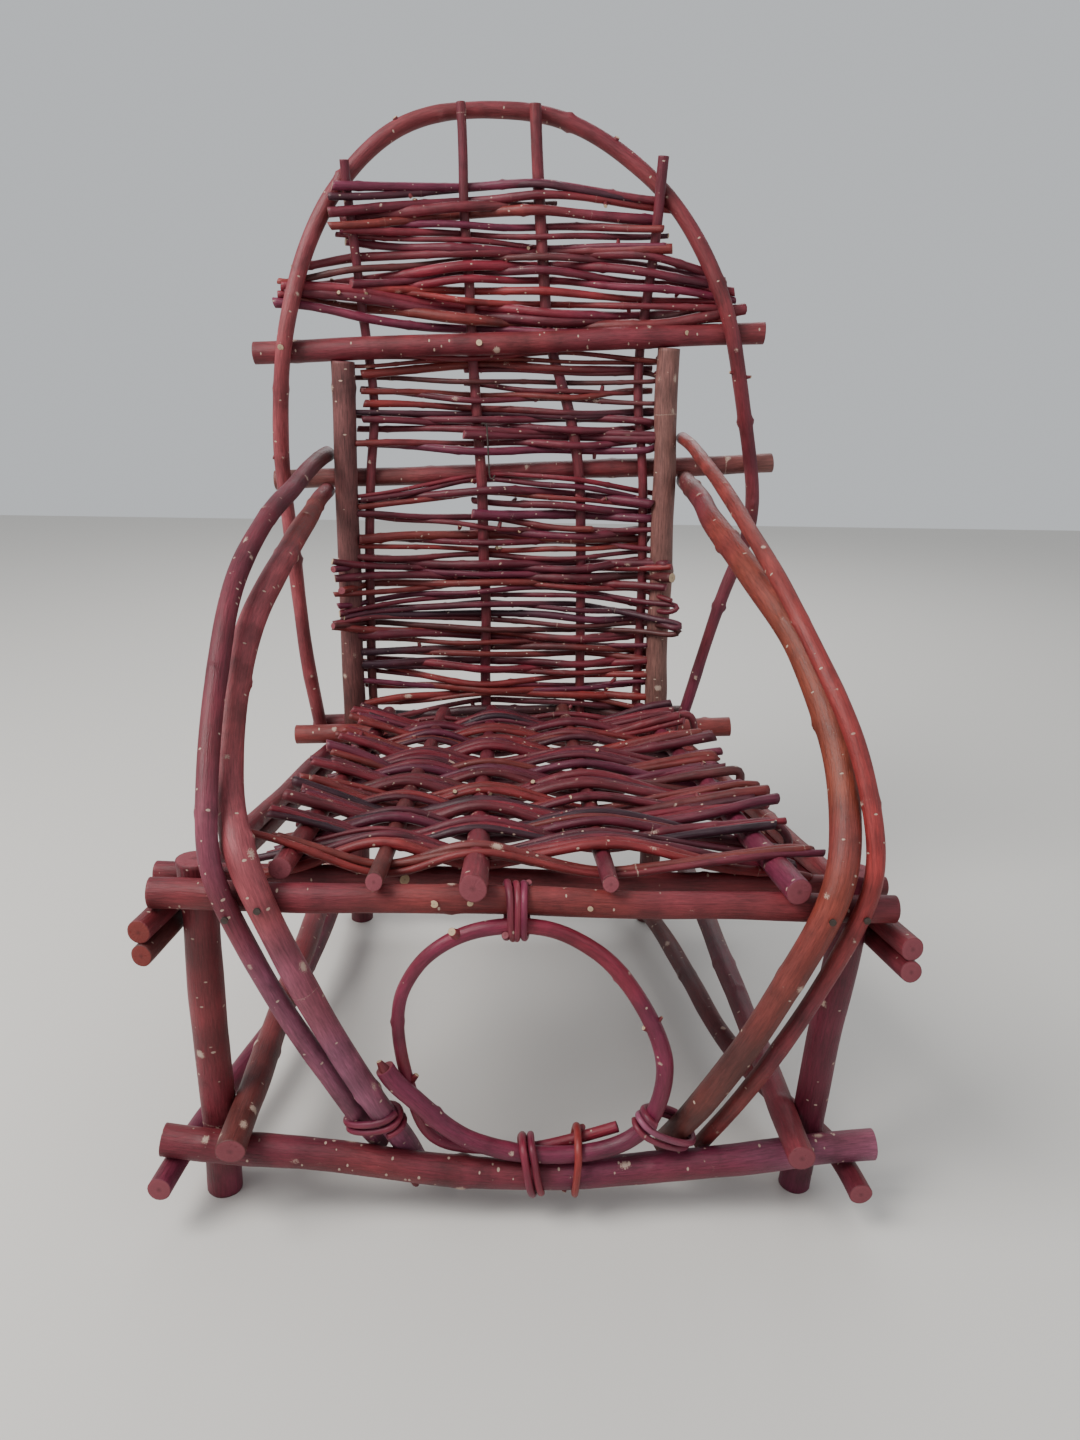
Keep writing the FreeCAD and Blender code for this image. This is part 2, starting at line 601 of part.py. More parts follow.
def seatWeave():
    """Woven twigs from behind the second front rail to the seat back rail, in three bundles."""
    pitch = size["seat_pitch"]
    clear = (size["second_rail_dia"] + size["weft_dia"]) / 2 + 1
    start = routes["second_front_rail"][0][Y] + clear
    stop = routes["seat_back_rail"][0][Y] - (size["seat_back_dia"] + size["weft_dia"]) / 2 - 1
    rows = int((stop - start) / pitch) + 1
    twigs = []
    for row in range(rows):
        ends = random.uniform(5, 12), random.uniform(5, 12)
        twigs.append(seatTwig(start + row * pitch, row % 2, ends))
    third = len(twigs) // 3
    bundle("seat_weave_front", twigs[:third])
    bundle("seat_weave_middle", twigs[third:2 * third])
    bundle("seat_weave_back", twigs[2 * third:])


def backTwig(level, parity, uprights, ends):
    """One woven twig across the back: before and behind the uprights, or groups of them, in turn."""
    route = []
    for place, group in enumerate(uprights):
        hand = -1 if (place + parity) % 2 else 1
        y = hand * max(hand * member[1] + member[2] for member in group)
        y += hand * (size["weft_dia"] / 2 + GAP + size["weave_slack"])
        route += [(member[0], y, level) for member in sorted(group)]
    first, last = route[0], route[-1]
    sides = [(first[X] - ends[0], first[Y], level), (last[X] + ends[1], last[Y], level)]
    return rod([sides[0]] + route + [sides[1]], "weft_dia", size["weave_bend"])


def slatsAt(level):
    """Places and half thicknesses of the four slats at a height."""
    found = [crossing(routes[f"back_slat_{n}"], Z, level) for n in range(1, 5)]
    return [[(x, y, size["slat_dia"] / 2)] for x, y, z in found]


def headWeave():
    """Woven twigs between the two sides of the hoop, over the upper back rail."""
    pitch = size["head_pitch"]
    start = max(routes["upper_back_rail"][0][Z], routes["upper_back_rail"][1][Z])
    start += (size["upper_rail_dia"] + size["weft_dia"]) / 2 + 1.5
    stop = size["hoop_top"] - 46
    twigs = []
    for row in range(int((stop - start) / pitch) + 1):
        level = start + row * pitch
        uprights = slatsAt(level)
        left, right = hoopSide("left", level), hoopSide("right", level)
        room = size["hoop_dia"] + size["slat_dia"] + 6
        hoopHalf = size["hoop_dia"] / 2 + GAP
        ends = random.uniform(7, 13), random.uniform(7, 13)
        parity = row % 2
        leftHoop, rightHoop = [(left[X], left[Y], hoopHalf)], [(right[X], right[Y], hoopHalf)]
        if uprights[0][0][X] - left[X] > room:
            uprights = [leftHoop] + uprights
            parity += 1
        else:
            uprights[0] = uprights[0] + leftHoop
        if right[X] - uprights[-1][0][X] > room:
            uprights = uprights + [rightHoop]
        else:
            uprights[-1] = uprights[-1] + rightHoop
        twigs.append(backTwig(level, parity, uprights, ends))
    half = len(twigs) // 2
    bundle("head_weave_lower", twigs[:half])
    bundle("head_weave_upper", twigs[half:])


def backRows(start, stop, posts, longest):
    """Twigs woven on the four slats between two heights, round the posts too where posts is true."""
    pitch = size["back_pitch"]
    twigs = []
    for row in range(int((stop - start) / pitch) + 1):
        level = start + row * pitch
        uprights = slatsAt(level)
        if posts:
            half = size["post_dia"] / 2
            left, right = atPost("left", level), atPost("right", level)
            uprights[0] = uprights[0] + [(left[X], left[Y], half)]
            uprights[-1] = uprights[-1] + [(right[X], right[Y], half)]
        ends = random.uniform(3, longest), random.uniform(3, longest)
        twigs.append(backTwig(level, row % 2, uprights, ends))
    return twigs


def backWeave():
    """Woven twigs between the rails: a short field over the lower rail and a long one under it."""
    half = (size["lower_rail_dia"] + size["weft_dia"]) / 2 + 1.5
    upper = min(routes["upper_back_rail"][0][Z], routes["upper_back_rail"][1][Z])
    upper -= (size["upper_rail_dia"] + size["weft_dia"]) / 2 + 1.5
    lowerTop = max(routes["lower_back_rail"][0][Z], routes["lower_back_rail"][1][Z]) + half
    lowerBottom = min(routes["lower_back_rail"][0][Z], routes["lower_back_rail"][1][Z]) - half
    seat = max(routes["rear_seat_rail"][0][Z], routes["rear_seat_rail"][1][Z])
    seat += (size["rear_rail_dia"] + size["weft_dia"]) / 2 + 12
    bundle("middle_weave", backRows(lowerTop, upper, False, 4))
    twigs = backRows(seat, lowerBottom, True, 9)
    third = len(twigs) // 3
    bundle("lower_weave_bottom", twigs[:third])
    bundle("lower_weave_middle", twigs[third:2 * third])
    bundle("lower_weave_top", twigs[2 * third:])


# Ties and nails

def wrap(centre, halfWidth, halfHeight, turns, pitch, flat="YZ"):
    """A twig wound round two sticks: a rounded box that moves on by a pitch each turn."""
    points = []
    corners = [(-1, -1), (1, -1), (1, 1), (-1, 1)]
    total = 4 * turns + 1
    for i in range(total):
        across, up = corners[i % 4]
        along = (i - (total - 1) / 2) * pitch / 4
        step = {"YZ": (along, across * halfWidth, up * halfHeight),
                "XZ": (across * halfWidth, along, up * halfHeight),
                "XY": (across * halfWidth, up * halfHeight, along)}[flat]
        points.append(tuple(c + s for c, s in zip(centre, step)))
    return points


def ties():
    """Thin twigs wound round the ring where it meets the rails."""
    ringTop = max(routes["front_ring"], key=lambda p: p[Z])
    rail = crossing(routes["front_top_rail"], X, ringTop[X])
    clear = size["tie_dia"] / 2 + GAP + 0.3
    low, high = ringTop[Z] - size["ring_dia"] / 2 - clear - 0.8, rail[Z] + size["front_rail_dia"] / 2 + clear
    front, back = ringTop[Y] - size["ring_dia"] / 2 - clear, rail[Y] + size["front_rail_dia"] / 2 + clear
    pitch = size["tie_dia"] + 2 * GAP
    centre = (midX + 0.5, (front + back) / 2, (low + high) / 2)
    bentStick("ring_top_tie", wrap(centre, (back - front) / 2, (high - low) / 2, 3, pitch), "tie_dia",
              size["ring_dia"] / 2 + clear)
    for label, x in (("ring_foot_tie_left", midX + 9.5), ("ring_foot_tie_right", midX + 30)):
        foot = crossing(routes["front_bottom_rail"], X, x)
        strands = [p for p in routes["front_ring"] if abs(p[X] - x) < 4 and p[Z] < size["seat_level"] / 2]
        half = size["low_rail_dia"] / 2
        bottom, front, back = foot[Z] - half - clear, foot[Y] - half - clear, foot[Y] + half + clear
        top = max(p[Z] for p in strands) + size["ring_dia"] / 2 + clear
        back = max(back, max(p[Y] for p in strands) + size["ring_dia"] / 2 + clear)
        centre = (x, (front + back) / 2, (bottom + top) / 2)
        bentStick(label, wrap(centre, (back - front) / 2, (top - bottom) / 2, 1, pitch), "tie_dia",
                  size["ring_dia"] / 2 + clear)


def sideTies():
    """Thin twigs wound round stick ends at the foot of the ring: the left arms, and ring with right arm."""
    clear = size["tie_dia"] / 2 + 3 * GAP
    pairs = [("left_arms_tie", ("left_outer_arm", "left_outer_dia"), ("left_inner_arm", "left_inner_dia"), 40),
             ("ring_side_tie", ("front_ring", "ring_dia"), ("right_inner_arm", "right_inner_dia"), 34)]
    for label, one, other, lift in pairs:
        level = size["low_level"] + lift
        found = []
        for name, dia in (one, other):
            side = [p for p in routes[name] if p[Z] < size["seat_level"] * 0.6 and p[Y] < legY]
            if name == "front_ring":
                edge = midX + size["ring_half_width"] / 2
                side = [p for p in side if p[X] > edge and p[Y] < side[0][Y] + 1]
            at = crossing(side, Z, level)
            found.append((at[X], at[Y], size[dia] / 2 * 1.12))
        xs = [f[0] - f[2] for f in found] + [f[0] + f[2] for f in found]
        ys = [f[1] - f[2] for f in found] + [f[1] + f[2] for f in found]
        centre = (min(xs) + max(xs)) / 2, (min(ys) + max(ys)) / 2, level
        half = (max(xs) - min(xs)) / 2 + clear, (max(ys) - min(ys)) / 2 + clear
        route = wrap(centre, *half, 2, size["tie_dia"] + 2 * GAP, "XY")
        bentStick(label, route, "tie_dia", size["ring_dia"] / 2 + clear)


def nails():
    """Nail heads on the arms where they cross the front top rail."""
    heads = []
    arms = [("left_inner_arm", "left_inner_dia", 5), ("left_outer_arm", "left_outer_dia", 0),
            ("right_inner_arm", "right_inner_dia", 2), ("right_outer_arm", "right_outer_dia", 0)]
    rail = routes["front_top_rail"]
    for label, dia, lift in arms:
        route = [p for p in routes[label] if p[Y] < legY]
        level = rail[0][Z] - 3 + lift
        at = crossing(route, Z, level)
        face = at[Y] - size[dia] / 2
        heads.append(Part.makeCylinder(size["nail_dia"] / 2, size["nail_proud"],
                                       Vector(at[X], face + 0.02, at[Z]), Vector(0, -1, 0)))
    bundle("nail_heads", heads)


for make in (legs, posts, frontRails, floorRails, innerRails, upperSideRails, seatRails, backRails, hoop,
             slats, arms, ring, seatRods, seatWeave, headWeave, backWeave, ties, sideTies, nails):
    make()

doc.recompute()
os.makedirs("parts", exist_ok=True)
for item in doc.Objects:
    bad = [s for s in item.State if s in ("Invalid", "Error")]
    if bad:
        raise RuntimeError(f"{item.Label} is {bad}")
for part in subParts:
    if part.Shape.isNull() or not part.Shape.isValid() or not part.Shape.Solids:
        raise RuntimeError(f"{part.Label} has no sound solid")
box = FreeCAD.BoundBox()
for part in subParts:
    part.Shape.exportStep(f"parts/{part.Label}.step")
    box.add(part.Shape.BoundBox)
corners = box.XMin, box.XMax, box.YMin, box.YMax, box.ZMin, box.ZMax
print(len(subParts), "sub-parts", [round(corner, 1) for corner in corners])
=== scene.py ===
import bpy
import numpy as np
from mathutils import Euler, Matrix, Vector


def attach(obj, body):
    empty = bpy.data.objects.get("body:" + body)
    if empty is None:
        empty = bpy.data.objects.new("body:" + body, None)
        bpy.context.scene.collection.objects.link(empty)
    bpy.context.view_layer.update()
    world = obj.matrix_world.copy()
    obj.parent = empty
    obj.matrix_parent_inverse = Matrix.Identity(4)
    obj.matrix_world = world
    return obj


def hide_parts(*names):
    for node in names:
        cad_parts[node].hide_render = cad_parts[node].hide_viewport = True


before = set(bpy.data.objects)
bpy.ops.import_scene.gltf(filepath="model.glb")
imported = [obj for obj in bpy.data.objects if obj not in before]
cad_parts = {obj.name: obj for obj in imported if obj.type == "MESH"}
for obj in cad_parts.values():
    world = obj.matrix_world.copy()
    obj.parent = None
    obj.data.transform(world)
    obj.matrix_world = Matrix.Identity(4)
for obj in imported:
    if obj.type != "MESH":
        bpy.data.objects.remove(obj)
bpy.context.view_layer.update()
mm = 0.001
chance = np.random.default_rng(11)
draw = chance.uniform      # a number anywhere between two
print("frame loaded:", len(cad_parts), "nodes")


# Colours of the barks, as linear red, green, blue.
maroon = (0.135, 0.018, 0.027)
wine = (0.100, 0.012, 0.024)
plum = (0.120, 0.016, 0.040)
violet = (0.205, 0.060, 0.105)
magenta = (0.155, 0.016, 0.046)
crimson = (0.180, 0.014, 0.027)
# This pink bark is partly the bark's own colour and partly painted light: it is brighter for the window light
# on the chair's left side, where it is used
windowLitRose = (0.235, 0.048, 0.058)
brick = (0.165, 0.026, 0.022)
rust = (0.178, 0.037, 0.021)
scarlet = (0.222, 0.024, 0.023)
brown = (0.170, 0.070, 0.060)
clay = (0.130, 0.045, 0.043)
umber = (0.072, 0.020, 0.018)
olive = (0.155, 0.088, 0.066)
soot = (0.036, 0.012, 0.022)
cutPink = (0.200, 0.045, 0.058)
cutCream = (0.450, 0.330, 0.210)
scarCream = (0.500, 0.370, 0.290)


# Corner points of a node's triangles, in mm.
def trianglesOf(node):
    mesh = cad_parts[node].data
    mesh.calc_loop_triangles()
    points = np.empty(len(mesh.vertices) * 3)
    mesh.vertices.foreach_get("co", points)
    corners = np.empty(len(mesh.loop_triangles) * 3, int)
    mesh.loop_triangles.foreach_get("vertices", corners)
    return (points.reshape(-1, 3) / mm)[corners].reshape(-1, 3, 3)


# Middle of the outline that a plane cuts out of a rod: where the plane crosses two sides of a triangle
# the crossing is a short line, and the middle is the mean of those lines' middles, weighed by length. Lines
# beyond the reach are another part of the rod's. The outline's length comes back too.
def cutMiddle(triangles, middle, across, reach):
    height = (triangles - middle) @ across
    ahead = np.roll(height, -1, axis=1)
    crossed = height * ahead < 0
    rows = crossed.sum(1) == 2
    crossed = crossed[rows][..., None]
    share = (height[rows] / np.where(crossed[..., 0], height[rows] - ahead[rows], 1))[..., None]
    corner = triangles[rows]
    spots = np.where(crossed, corner + (np.roll(corner, -1, axis=1) - corner) * share, 0)
    middles = spots.sum(1) / 2
    lengths = np.sqrt(np.maximum(2 * (spots ** 2).sum((1, 2)) - (spots.sum(1) ** 2).sum(1), 0))
    near = np.linalg.norm(middles - middle, axis=1) < reach
    total = lengths[near].sum()
    if total == 0:
        return middle, 0
    return (middles[near] * lengths[near, None]).sum(0) / total, total


# Steps of direction and place in which two planes match, shifts of the steps' edges, the fewest triangles in
# a disc, and how far its corners reach, times its radius.
discSearch = {"ways": 200, "levels": 10, "shifts": (0, 0.25, 0.5, 0.75), "fewest": 8, "widest": 1.12}


# The two round ends of a rod, as middle, outward direction and radius: triangles in one plane, which fill
# a disc, so that no corner is much further out than the root of area / pi. Planes are matched by rounding,
# again with the steps shifted, in case a disc lies on the edge of a step.
def roundEnds(triangles):
    outward = np.cross(triangles[:, 1] - triangles[:, 0], triangles[:, 2] - triangles[:, 0])
    area = np.linalg.norm(outward, axis=1) / 2
    outward = outward / np.maximum(2 * area, 1e-9)[:, None]
    levels = (triangles[:, 0] * outward).sum(1)
    planes = np.column_stack([outward * discSearch["ways"], levels * discSearch["levels"]])
    found = []
    for shift in discSearch["shifts"]:
        group = np.unique(np.round(planes + shift), axis=0, return_inverse=True)[1].ravel()
        for number in np.flatnonzero(np.bincount(group) >= discSearch["fewest"]):
            disc = triangles[group == number]
            size = area[group == number]
            middle = (disc.mean(1) * size[:, None]).sum(0) / size.sum()
            radius = np.sqrt(size.sum() / np.pi)
            furthest = np.linalg.norm(disc.reshape(-1, 3) - middle, axis=1).max()
            isRound = furthest < discSearch["widest"] * radius
            isNew = all(np.linalg.norm(middle - other[0]) > 1 for other in found)
            if isRound and isNew:
                found.append((middle, outward[group == number][0], radius))
    return sorted(found, key=lambda end: -end[2])[:2]


# Following a rod: the step in mm and times the radius, whichever is less, the fewest and most steps, and how
# many from the far end to stop. Reach and outline are times the radius. The direction is taken from a few
# points back. Edge is how near to a straight stick's end its end points lie.
tracing = {"step": (2, 0.3), "steps": (20, 1200), "stop": 1.5, "reach": (1.15, 1.12), "outline": 4,
           "lookBack": 3, "edge": 1.6}


# Centre line of a bent rod: a plane across it moves on in short steps from one end to the other. The line
# runs towards the given direction.
def bentLine(node, towards):
    triangles = trianglesOf(node)
    (here, heading, radius), (goal, _, _) = sorted(roundEnds(triangles), key=lambda end: end[0] @ towards)
    step = min(tracing["step"][0], tracing["step"][1] * radius)
    fewest, most = tracing["steps"]
    heading = -heading
    line = [here]
    while len(line) < most and (len(line) < fewest or np.linalg.norm(here - goal) > tracing["stop"] * step):
        here = here + heading * step
        for reach in tracing["reach"]:
            here, outline = cutMiddle(triangles, here, heading, reach * radius)
        if outline < tracing["outline"] * radius:
            break
        line.append(here)
        heading = line[-1] - line[max(-tracing["lookBack"], -len(line))]
        heading /= np.linalg.norm(heading)
    return np.vstack([line, goal])


# Centre line of a straight stick: from the mean of one end's points to the mean of the other's.
def straightLine(node):
    points = np.unique(np.round(trianglesOf(node).reshape(-1, 3), 2), axis=0)
    along = np.linalg.svd(points - points.mean(0), full_matrices=False)[2][0]
    along = along * np.sign(along[np.argmax(np.abs(along))])
    reach = points @ along
    low = points[reach < reach.min() + tracing["edge"]].mean(0)
    high = points[reach > reach.max() - tracing["edge"]].mean(0)
    low = low - along * (low @ along - reach.min())
    high = high + along * (reach.max() - high @ along)
    return np.array([low, high])


# The line again with points a step apart, measured along it.
def evenly(line, step):
    lengths = np.linalg.norm(np.diff(line, axis=0), axis=1)
    along = np.concatenate([[0], np.cumsum(lengths)])
    count = max(int(along[-1] / step), 4) + 1
    marks = np.linspace(0, along[-1], count)
    return np.stack([np.interp(marks, along, line[:, k]) for k in range(3)], axis=1), marks


# Where a line passes a value of one coordinate. The line must rise or fall in it.
def passing(line, axis, value):
    order = np.argsort(line[:, axis])
    return np.array([np.interp(value, line[order, axis], line[order, k]) for k in range(3)])


# Each value becomes the mean of its neighbours, weighed by a bell curve this many points wide. The values
# are mirrored about each end, so the ends stay where they are.
def soften(values, width):
    reach = int(3 * width) + 1
    bell = np.exp(-0.5 * (np.arange(-reach, reach + 1) / width) ** 2)
    bell /= bell.sum()
    values = np.asarray(values, float)
    flat = values.reshape(len(values), -1)
    start = 2 * flat[0] - flat[np.minimum(np.arange(reach, 0, -1), len(flat) - 1)]
    stop = 2 * flat[-1] - flat[np.maximum(len(flat) - 2 - np.arange(reach), 0)]
    padded = np.vstack([start, flat, stop])
    out = np.stack([np.convolve(padded[:, k], bell, "valid") for k in range(flat.shape[1])], axis=1)
    return out.reshape(values.shape)


# The line with points a mm apart and its bends eased over this many mm.
def eased(line, ease):
    return soften(evenly(line, 1)[0], ease)


waves = {"count": 5, "lengths": (0.5, 1.7), "height": 1.6}      # lengths are times the length asked for


# Smooth wandering about zero: sine waves of random lengths and phases, added up and scaled to a usual height.
def wander(along, size, length):
    lengths = length * draw(*waves["lengths"], waves["count"])
    phases = draw(0, 2 * np.pi, waves["count"])
    heights = np.sin(2 * np.pi * np.asarray(along)[..., None] / lengths + phases)
    return size * heights.sum(-1) / waves["height"]


# Colours at shares of the way, blended between the listed ones.
def blended(colours, share):
    colours = np.array(colours, float).reshape(-1, 3)
    marks = np.linspace(0, 1, len(colours))
    return np.stack([np.interp(share, marks, colours[:, k]) for k in range(3)], axis=-1)


plainRod = {
    "thick": (10, 10),       # diameters in mm, evenly spaced from start to end
    "around": 22,            # points round one ring
    "step": 1.7,             # mm from ring to ring
    "crook": 0.28,           # how far the rod wanders off its line, in mm
    "knots": 70,             # mm from knot to knot
    "swell": 0.014,          # share of the radius that a knot stands out
    "buds": 0.13,            # share of the radius that a bud scar stands out
    "colours": (maroon,),    # bark from start to end
    "sunny": brick,          # bark on the side that grew in the sun
    "sun": 0.35,             # how much of that shows
    "cut": cutPink,          # the sawn ends
    "slant": 0.06,           # slope of the cuts
    "uneven": 0.018,         # waviness of the thickness
    "inset": 1,              # how far the cuts keep back from the line's ends, in mm
}

# What all rods share. Widths, heights and rise are times the radius, but budWidth and budTurn are in radians;
# ridgeWidth has a least width and budHeight an added height in mm. Knots' places, sizes and scars lie
# anywhere between two numbers. Twist, drift, sunTurn and shade are an amount and the mm it wanders over.
growth = {
    "crookLength": 130, "unevenLength": 90, "oval": 0.03, "ribs": 5, "ribHeight": 0.010, "twist": (1.5, 80),
    "firstKnot": (0.2, 0.9), "nextKnot": (0.6, 1.4), "knotSize": (0.5, 1.3), "knotWidth": 1.1,
    "ridgeWidth": (0.12, 0.8), "ridgeScar": (0.1, 0.6), "budSize": (0.5, 1.4), "budRise": 0.35,
    "budHeight": (0.34, 0.4), "budWidth": 0.42, "budPale": 0.8, "budScar": (0.4, 1.2), "budTurn": 0.3,
    "drift": (0.03, 70), "sunTurn": (0.7, 120), "shade": (0.09, 35),
}

# Rings on a sawn end, from the rim inwards, and its middle point: their radii as shares of the rod's, mm that
# they stand out on a rod of full thickness, and how much lighter or darker they are.
sawnEnd = {
    "shrink": (0.95, 0.9, 0.62, 0.3), "proud": (0.10, 0.16, 0.22, 0.25), "middleProud": 0.27, "full": 10,
    "tones": (-0.2, 0.03, -0.04, 0.03), "middleTone": 0.6, "slant": (0.2, 1.6),
}


# A rod's radius at each ring point: the tapering thickness, times the swell of each knot, a bell curve along
# the rod, and of two opposite bud scars there, bells both along and round it. Then the mean radius, and how
# plainly a scar shows at each point.
def rodShape(along, angle, look):
    thick = np.array(look["thick"], float)
    radius = np.interp(along / along[-1], np.linspace(0, 1, len(thick)), thick) / 2
    radius = radius * (1 + wander(along, look["uneven"], growth["unevenLength"]))
    mean = radius.mean()
    oval = growth["oval"] * np.cos(2 * (angle - draw(0, 6)))
    ribs = np.sin(growth["ribs"] * angle[None] + wander(along, *growth["twist"])[:, None])
    shape = 1 + oval[None] + growth["ribHeight"] * ribs
    scar = np.zeros(shape.shape)
    place = draw(*growth["firstKnot"]) * look["knots"]
    turn = draw(0, np.pi)
    ridgeWidth = max(growth["ridgeWidth"][0] * mean, growth["ridgeWidth"][1])
    budHeight = growth["budHeight"][0] * mean + growth["budHeight"][1]
    while place < along[-1] - mean:
        off = (along - place)[:, None]
        ring = np.exp(-(off / (growth["knotWidth"] * mean)) ** 2)
        ridge = np.exp(-(off / ridgeWidth) ** 2)
        shape += look["swell"] * draw(*growth["knotSize"]) * ring
        scar = np.maximum(scar, draw(*growth["ridgeScar"]) * ridge)
        for side in (0, np.pi):
            gap = np.angle(np.exp(1j * (angle - turn - side)))[None]
            up = off - growth["budRise"] * mean
            bud = np.exp(-(up / budHeight) ** 2 - (gap / growth["budWidth"]) ** 2)
            shape += look["buds"] * draw(*growth["budSize"]) * bud
            scar = np.maximum(scar, growth["budPale"] * bud * draw(*growth["budScar"]))
        turn += np.pi / 2 + draw(-growth["budTurn"], growth["budTurn"])
        place += look["knots"] * draw(*growth["nextKnot"])
    return radius[:, None] * shape, mean, scar


# Colour of the bark at each ring point: the listed barks blend along the rod, and the sunny one is mixed in
# round it by 0.5 + 0.5 * cos(angle).
def rodBark(along, angle, look):
    drift = along / along[-1] + wander(along, *growth["drift"])
    bark = blended(look["colours"], np.clip(drift, 0, 1))
    bark = np.repeat(bark[:, None], look["around"], axis=1)
    facing = angle[None] - draw(0, 6) + wander(along, *growth["sunTurn"])[:, None]
    facing = ((0.5 + 0.5 * np.cos(facing)) * look["sun"])[..., None]
    bark = bark * (1 - facing) + np.array(look["sunny"]) * facing
    return bark * (1 + wander(along, *growth["shade"]))[:, None, None]


# A line's direction at each of its points, and two directions square to it.
def acrossLine(line):
    direction = np.gradient(line, axis=0)
    direction /= np.linalg.norm(direction, axis=1)[:, None]
    flat = np.linalg.svd(line - line.mean(0), full_matrices=False)[2][2]
    side = np.cross(direction, flat)
    side /= np.linalg.norm(side, axis=1)[:, None]
    return direction, side, np.cross(side, direction)


# Faces of rings joined one to the next, with a fan to the middle point of each end, and where each corner
# lies on the unrolled skin, in mm.
def joinRings(rings, around, level, width):
    i, j = np.meshgrid(np.arange(rings - 1), np.arange(around), indexing="ij")
    k = (j + 1) % around
    quads = np.stack([i * around + j, i * around + k, (i + 1) * around + k, (i + 1) * around + j], axis=-1)
    across = np.stack([j, j + 1, j + 1, j], axis=-1) * width
    down = np.stack([level[i], level[i], level[i + 1], level[i + 1]], axis=-1)
    j = np.arange(around)
    k = (j + 1) % around
    rim = (rings - 1) * around
    first = rings * around
    low = np.stack([k, j, np.full(around, first)], axis=-1)
    high = np.stack([rim + j, rim + k, np.full(around, first + 1)], axis=-1)
    fan = np.stack([j * width, (j + 1) * width, (j + 0.5) * width], axis=-1)
    lowFan = np.stack([fan, np.full(fan.shape, level[0])], axis=-1).reshape(-1, 2)
    highFan = np.stack([fan, np.full(fan.shape, level[-1])], axis=-1).reshape(-1, 2)
    shift = draw(0, 500)      # no two rods show the same part of a pattern
    return {
        "quads": quads.reshape(-1, 4),
        "fans": np.vstack([low, high]),
        "quadMap": np.stack([across, down], axis=-1).reshape(-1, 2) + shift,
        "fanMap": np.vstack([lowFan, highFan]) + shift,
    }


# A rod's skin: round each point of its line runs a ring, and a ring point is the line's point plus
# radius * (cos(angle) * side + sin(angle) * up). Smaller and smaller rings and a middle point close each
# end, on a slightly slanted, slightly domed cut.
def rodSkin(line, look):
    look = {**plainRod, **look}
    line, along = evenly(line, look["step"])
    for axis in range(3):
        line[:, axis] += wander(along, look["crook"], growth["crookLength"])
    angle = np.arange(look["around"]) / look["around"] * 2 * np.pi
    radius, mean, scar = rodShape(along, angle, look)
    bark = rodBark(along, angle, look)
    direction, side, up = acrossLine(line)
    ring = np.cos(angle)[None, :, None] * side[:, None] + np.sin(angle)[None, :, None] * up[:, None]
    skin = line[:, None] + radius[..., None] * ring

    shrink = np.array(sawnEnd["shrink"])
    small = min(2 * mean / sawnEnd["full"], 1)
    proud = np.array(sawnEnd["proud"]) * small
    tones = np.array(look["cut"]) * (1 + np.array(sawnEnd["tones"]))[:, None]
    tones = np.repeat(tones[:, None], look["around"], axis=1)
    caps, middles = [], []
    for end, outward in ((0, -1), (-1, 1)):
        slope = np.cos(angle - draw(0, 6)) * look["slant"] * draw(*sawnEnd["slant"])
        lean = radius[end] * slope - outward * look["inset"]
        line[end] -= outward * look["inset"] * direction[end]
        skin[end] += lean[:, None] * direction[end]
        cap = line[end] + shrink[:, None, None] * (skin[end] - line[end])
        caps.append(cap + (outward * proud)[:, None, None] * direction[end])
        middles.append(line[end] + outward * sawnEnd["middleProud"] * small * direction[end])

    none = np.zeros((len(shrink), look["around"]))
    sawn = np.concatenate([none + 1, np.zeros(scar.shape), none + 1])
    level = np.concatenate([along[0] - (1 - shrink[::-1]) * mean, along, along[-1] + (1 - shrink) * mean])
    middleTone = np.array([look["cut"]] * 2) * sawnEnd["middleTone"]
    return {
        **joinRings(*sawn.shape, level, 2 * np.pi * mean / look["around"]),
        "points": np.vstack([np.concatenate([caps[0][::-1], skin, caps[1]]).reshape(-1, 3), middles]),
        "bark": np.vstack([np.concatenate([tones[::-1], bark, tones]).reshape(-1, 3), middleTone]),
        "scar": np.append(np.concatenate([none, scar, none]).ravel(), [0, 0]),
        "sawn": np.append(sawn.ravel(), [1, 1]),
    }


